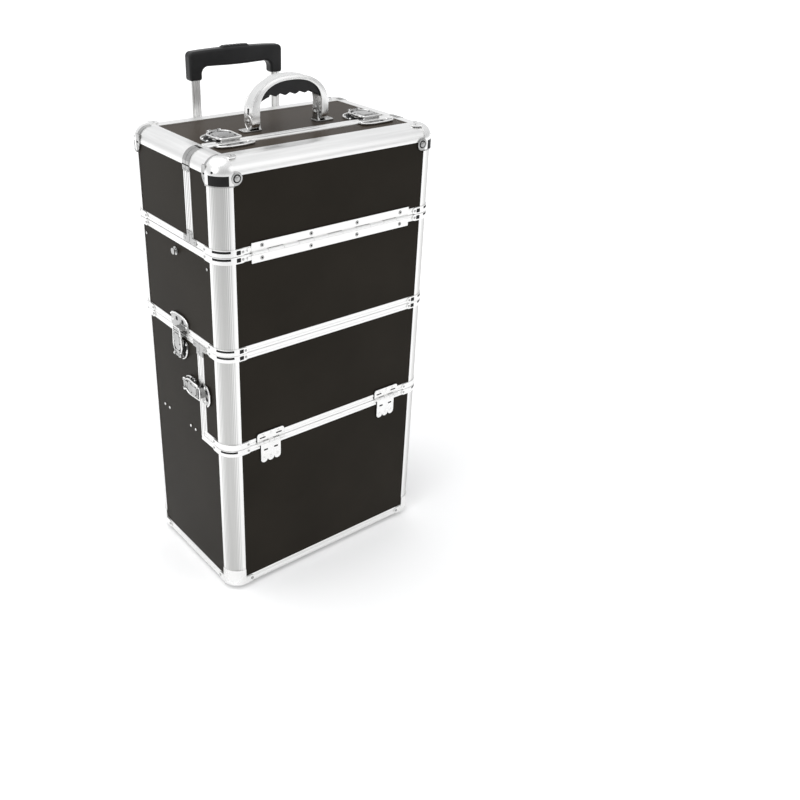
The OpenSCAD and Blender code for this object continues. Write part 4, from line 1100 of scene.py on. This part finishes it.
def wheel():
    """A grooved tyre on a hub with six spokes."""
    half = 10.0
    edge = [(16.5, -half), (22.0, -half), (24.0, -half + 1.2), (WHEEL_R, -half + 3.4)]
    tread = []
    for h in (-3.6, 0.0, 3.6):
        tread += [(WHEEL_R, h - 0.9), (WHEEL_R - 0.8, h - 0.5), (WHEEL_R - 0.8, h + 0.5), (WHEEL_R, h + 0.9)]
    shape = ring_lathe(edge + tread + [(r, -h) for r, h in reversed(edge)], 56, 0)
    rim = [(13.0, -half + 1.0), (16.4, -half + 0.4), (16.4, half - 0.4), (13.0, half - 1.0)]
    shape.put(ring_lathe(rim, 48, 1))
    hub = [(4.1, -half), (7.0, -half), (7.6, -half + 0.8), (7.6, half - 0.8), (7.0, half), (4.1, half)]
    shape.put(ring_lathe(hub, 32, 1))
    shape.put(ring_lathe(oblong(7.4, 13.4, -2.0, 2.0), 40, 1))
    spoke = block((7.2, -1.5, -half + 1.6), (13.6, 1.5, half - 1.6), 1)
    for i in range(6):
        a = 2 * math.pi * i / 6
        out = Vector((math.cos(a), math.sin(a), 0))
        shape.put(spoke, basis((0, 0, 0), out, Z.cross(out), Z))
    return shape.moved(basis((WHEEL_X, WHEEL_Y, WHEEL_R), Y, Z, X))


for side, shape in (("right", wheel()), ("left", wheel().mirrored())):
    node = side + "_wheel"
    piece(side + "_roller", shape, node, [RUBBER, GREY], [node], bevel=0.2)


# Trays

TRAY_HALF = 160.4
TRAY_T = 2.5
TRAY_LOW = Z_LID + 4
TRAY_H = 42.0
OUTER_LOW = TRAY_LOW + TRAY_H + 4
OUTER_TOP = OUTER_LOW + TRAY_H
FRONT_TRAY_Y = (11.0, SEAM_Y - 4.5)
REAR_TRAY_Y = (SEAM_Y + 7.5, CASE_D - 10)
CHEEK_X = 165.5
SLOT_GAP = 0.2
RIB = [(-1.15, 0), (-0.55, 0.95), (0.55, 0.95), (1.15, 0)]
RIB_STEP = 9.0
# Arms and links: heights and depths of their lower pins, lengths with rest angles, and the pins' ends
ARM_Z = Z_LID - 3
LINK_Z = TRAY_LOW + TRAY_H - 6
FRONT_ARM_Y = (17.0, 29.5)
REAR_ARM_Y = (CASE_D - 20, CASE_D - 60)
LINK_Y = (CASE_D - 30, CASE_D - 70)
FRONT_ARM = (43, 33)
REAR_ARM = (50, 147)
LINK = (48, 150)
ARM_END = CHEEK_X - 0.6
LINK_END = CHEEK_X - 2.9


def open_box(x, y, z, t):
    outer = oblong(*x, *y)
    inner = oblong(x[0] + t, x[1] - t, y[0] + t, y[1] - t)
    levels = ((outer, z[0]), (outer, z[1]), (inner, z[1]), (inner, z[0] + t))
    return skin([[(a, b, h) for a, b in points] for points, h in levels])


def ribs(start, end, z, out):
    """Upright ribs along a wall from start to end, standing out from it."""
    start = Vector((*start, 0))
    run = Vector((*end, 0)) - start
    count = max(1, round(run.length / RIB_STEP))
    shape = Shape()
    for i in range(count):
        foot = start + run * ((i + 0.5) / count)
        shape.put(bar(RIB, foot + Z * z[0], foot + Z * z[1], run.normalized(), Vector((*out, 0))))
    return shape


def ribbed_cell(x, y, z):
    """Ribs on the four walls round one compartment."""
    shape = Shape()
    for end, inward in ((0, 1), (1, -1)):
        shape.put(ribs((x[0], y[end]), (x[1], y[end]), z, (0, inward)))
        shape.put(ribs((x[end], y[0]), (x[end], y[1]), z, (inward, 0)))
    return shape


def tray(half, y, z, t, cross=False):
    """An open tray with two dividers, and a third across its middle cell if asked."""
    shape = open_box((-half, half), y, z, t)
    inside = (y[0] + t, y[1] - t)
    floor = z[0] + t
    top = z[1] - 3.0
    third = half / 3
    mid = (y[0] + y[1]) / 2
    for x in (-third, third):
        low = (x - t / 2, inside[0] + SLOT_GAP, floor + SLOT_GAP)
        shape.put(block(low, (x + t / 2, inside[1] - SLOT_GAP, top)))
    centre = (-third + t / 2, third - t / 2)
    cells = [((-half + t, -third - t / 2), inside), ((third + t / 2, half - t), inside)]
    if cross:
        low = (centre[0] + SLOT_GAP, mid - t / 2, floor + SLOT_GAP)
        shape.put(block(low, (centre[1] - SLOT_GAP, mid + t / 2, top)))
        cells += [(centre, (inside[0], mid - t / 2)), (centre, (mid + t / 2, inside[1]))]
    else:
        cells.append((centre, inside))
    for cell_x, cell_y in cells:
        shape.put(ribbed_cell(cell_x, cell_y, (floor + 0.1, top - 1.0)))
    return shape


def tray_pins(z, length, angle, depths, x_end):
    """Pins on both sides of a tray where its arms or links take hold."""
    shape = Shape()
    a = math.radians(angle)
    for depth in depths:
        at = (depth + length * math.cos(a), z + length * math.sin(a))
        shape.put(tube([(TRAY_HALF - 0.5, *at), (x_end, *at)], 1.45, 14, 1))
    return shape.both()


front_tray = tray(TRAY_HALF, FRONT_TRAY_Y, (TRAY_LOW, OUTER_TOP), TRAY_T)
front_tray.put(tray_pins(ARM_Z, *FRONT_ARM, FRONT_ARM_Y, ARM_END))
inner_tray = tray(TRAY_HALF, REAR_TRAY_Y, (TRAY_LOW, TRAY_LOW + TRAY_H), TRAY_T)
inner_tray.put(tray_pins(ARM_Z, *REAR_ARM, REAR_ARM_Y, ARM_END))
inner_tray.put(tray_pins(LINK_Z, 0, 0, LINK_Y, LINK_END))
outer_tray = tray(TRAY_HALF, REAR_TRAY_Y, (OUTER_LOW, OUTER_TOP), TRAY_T)
outer_tray.put(tray_pins(LINK_Z, *LINK, LINK_Y, LINK_END))
lift_tray = tray(168.0, (12.0, CASE_D - 14), (Z_FLAP + 3.3, Z_RIM - 14), 3.0, cross=True)
for name, shape, node in (
        ("front_ribbed_tray", front_tray, "front_tray"),
        ("inner_ribbed_tray", inner_tray, "inner_tray"),
        ("outer_ribbed_tray", outer_tray, "outer_tray"),
        ("ribbed_lift_out_tray", lift_tray, "lift_out_tray")):
    piece(name, shape, node, [TRAY, CHROME], [node], bevel=0.35)


# Rolled shoulder strap

STRAP_AT = (-90, 100)


def rolled_strap():
    """Webbing wound up in even turns, on edge on the trolley case's floor board."""
    width = 38.0
    thick = 1.6
    pitch = 2.3
    core = 9.0
    turns = 9
    steps = turns * 48
    half = [(0.0, 0.5), (0.35, 0.0), (thick - 0.35, 0.0), (thick, 0.5)]
    section = half + [(out, width - up) for out, up in reversed(half)]
    rings = []
    for i in range(steps + 1):
        a = 2 * math.pi * turns * i / steps
        r = core + pitch * turns * i / steps
        flat = Vector((math.cos(a), math.sin(a), 0))
        centre = Vector((*STRAP_AT, Z_BOTTOM + BOARD))
        rings.append([centre + flat * (r + out) + Z * up for out, up in section])
    return skin(rings)


strap = piece("rolled_strap", rolled_strap(), "lower_case", [WEBBING], ["shoulder_strap"],
              bevel=0.0)


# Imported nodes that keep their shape

for node in ("lower_panels", "flap_panels", "body_panels", "front_lid_panels", "rear_lid_panels"):
    dress(node, LAMINATE)
# painted light: the lids' faces that look up take the lighter, browner copy of the laminate
for node in ("front_lid_panels", "rear_lid_panels"):
    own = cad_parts[node].data
    own.materials.append(LIT_TOP_LAMINATE)
    for face in own.polygons:
        face.material_index = 1 if face.normal.z > 0.9 and face.center.z > (Z_TOP - 2) * MM else 0
for mat, bevel, nodes in (
        (ALU_Y, 0.2, ("tray_ledges", "front_arms_a", "front_arms_b", "inner_arms_a", "inner_arms_b")),
        (ALU_Y, 0.2, ("outer_links_a", "outer_links_b")),
        (CHROME, 0.3, ("wheel_axles", "strap_studs")),
        (RUBBER, 1.2, ("front_feet",)),
        (BLACK, 0.8, ("wheel_housings",)),
        (BLACK, 1.5, ("tube_brackets",)),
        (TRAY, 0.4, ("side_cheeks", "body_divider"))):
    for node in nodes:
        dress(node, mat, bevel)


# Floor, light and camera, in metres

FLOOR_HALF = 14.0
FLOOR_REACH = (0.4, 3.2)
FLOOR_GLOW = (0.16, 0.45)
FLOOR_BACK = (0.635, 0.773, 0)
SKY = (0.5, 0.9)
SKY_UP = (0.1, 0.5, 0.85)


def dot(tree, place, direction):
    return add_node(tree, "VectorMath", {0: place, 1: direction}, operation="DOT_PRODUCT").outputs["Value"]


def stage_material():
    """A pale floor that keeps its shadow; where the lamps fade behind the case, it still looks white."""
    mat = base_material("pale_floor", (0.94, 0.94, 0.94), 0.9, level=0.1)
    vary_colour(mat, add_noise(mat, 60.0, detail=2.0), (0.935, 0.935, 0.935), (0.945, 0.945, 0.945))
    tree = mat.node_tree
    place = coordinates(tree)
    far = add_node(tree, "VectorMath", {0: place}, operation="LENGTH").outputs["Value"]
    glow = remap(tree, far, FLOOR_REACH, FLOOR_GLOW)
    behind = remap(tree, dot(tree, place, FLOOR_BACK), (-1.4, -0.6), (0.0, 1.0))
    path = add_node(tree, "LightPath", {}).outputs
    seen = combine(tree, "MAXIMUM", path["Is Camera Ray"], path["Is Glossy Ray"])
    seen = combine(tree, "MAXIMUM", seen, path["Is Transmission Ray"])
    strength = combine(tree, "MULTIPLY", combine(tree, "MULTIPLY", glow, behind), seen)
    emit = add_node(tree, "Emission", {"Strength": strength}).outputs["Emission"]
    surface = tree.nodes["Principled BSDF"].outputs["BSDF"]
    total = add_node(tree, "AddShader", {0: surface, 1: emit}).outputs["Shader"]
    tree.links.new(total, tree.nodes["Material Output"].inputs["Surface"])
    return mat


def build_world():
    world = bpy.data.worlds.new("studio")
    bpy.context.scene.world = world
    world.use_nodes = True
    tree = world.node_tree
    sky = tree.nodes["Background"]
    sky.inputs["Color"].default_value = (0.985, 0.99, 1.0, 1)
    rise = dot(tree, coordinates(tree, "Generated"), Vector(SKY_UP).normalized())
    tree.links.new(remap(tree, rise, (-0.7, 0.7), SKY), sky.inputs["Strength"])


def area_light(name, place, target, size, power):
    data = bpy.data.lights.new(name, "AREA")
    data.shape = "DISK"
    data.size = size
    data.energy = power
    lamp = bpy.data.objects.new(name, data)
    bpy.context.scene.collection.objects.link(lamp)
    lamp.location = place
    lamp.rotation_euler = (Vector(target) - Vector(place)).to_track_quat("-Z", "Y").to_euler()


floor_mesh = bpy.data.meshes.new("floor")
floor_corners = oblong(-FLOOR_HALF, FLOOR_HALF, -FLOOR_HALF, FLOOR_HALF)
floor_mesh.from_pydata([(x, y, 0) for x, y in floor_corners], [], [(0, 1, 2, 3)])
floor_mesh.materials.append(stage_material())
floor = bpy.data.objects.new("floor", floor_mesh)
bpy.context.scene.collection.objects.link(floor)

build_world()
area_light("key", (-0.6, 0.2, 2.2), (-0.05, 0, 0.3), 1.8, 15)
area_light("left", (-1.9, -0.5, 1.3), (0, 0, 0.35), 1.4, 5.2)
area_light("front", (0.9, -2.0, 1.5), (0, 0, 0.35), 1.6, 3.8)

camera_data = bpy.data.cameras.new("camera")
camera = bpy.data.objects.new("camera", camera_data)
bpy.context.scene.collection.objects.link(camera)
camera_data.sensor_width = 36.0
camera_data.lens = 42.083
camera_data.shift_x = 0.0547
camera_data.shift_y = -0.0291
eye = (-0.73731, -1.07954, 0.97995)
yaw = 0.68757
pitch = -0.4991
roll = 0.03501
forward = Vector((math.cos(pitch) * math.sin(yaw), math.cos(pitch) * math.cos(yaw), math.sin(pitch)))
level = Vector((math.cos(yaw), -math.sin(yaw), 0))
upward = level.cross(forward)
right_axis = level * math.cos(roll) + upward * math.sin(roll)
up_axis = upward * math.cos(roll) - level * math.sin(roll)
turn = Matrix((right_axis, up_axis, -forward)).transposed()
camera.matrix_world = Matrix.Translation(eye) @ turn.to_4x4()
bpy.context.scene.camera = camera
bpy.context.scene.view_settings.view_transform = "Standard"
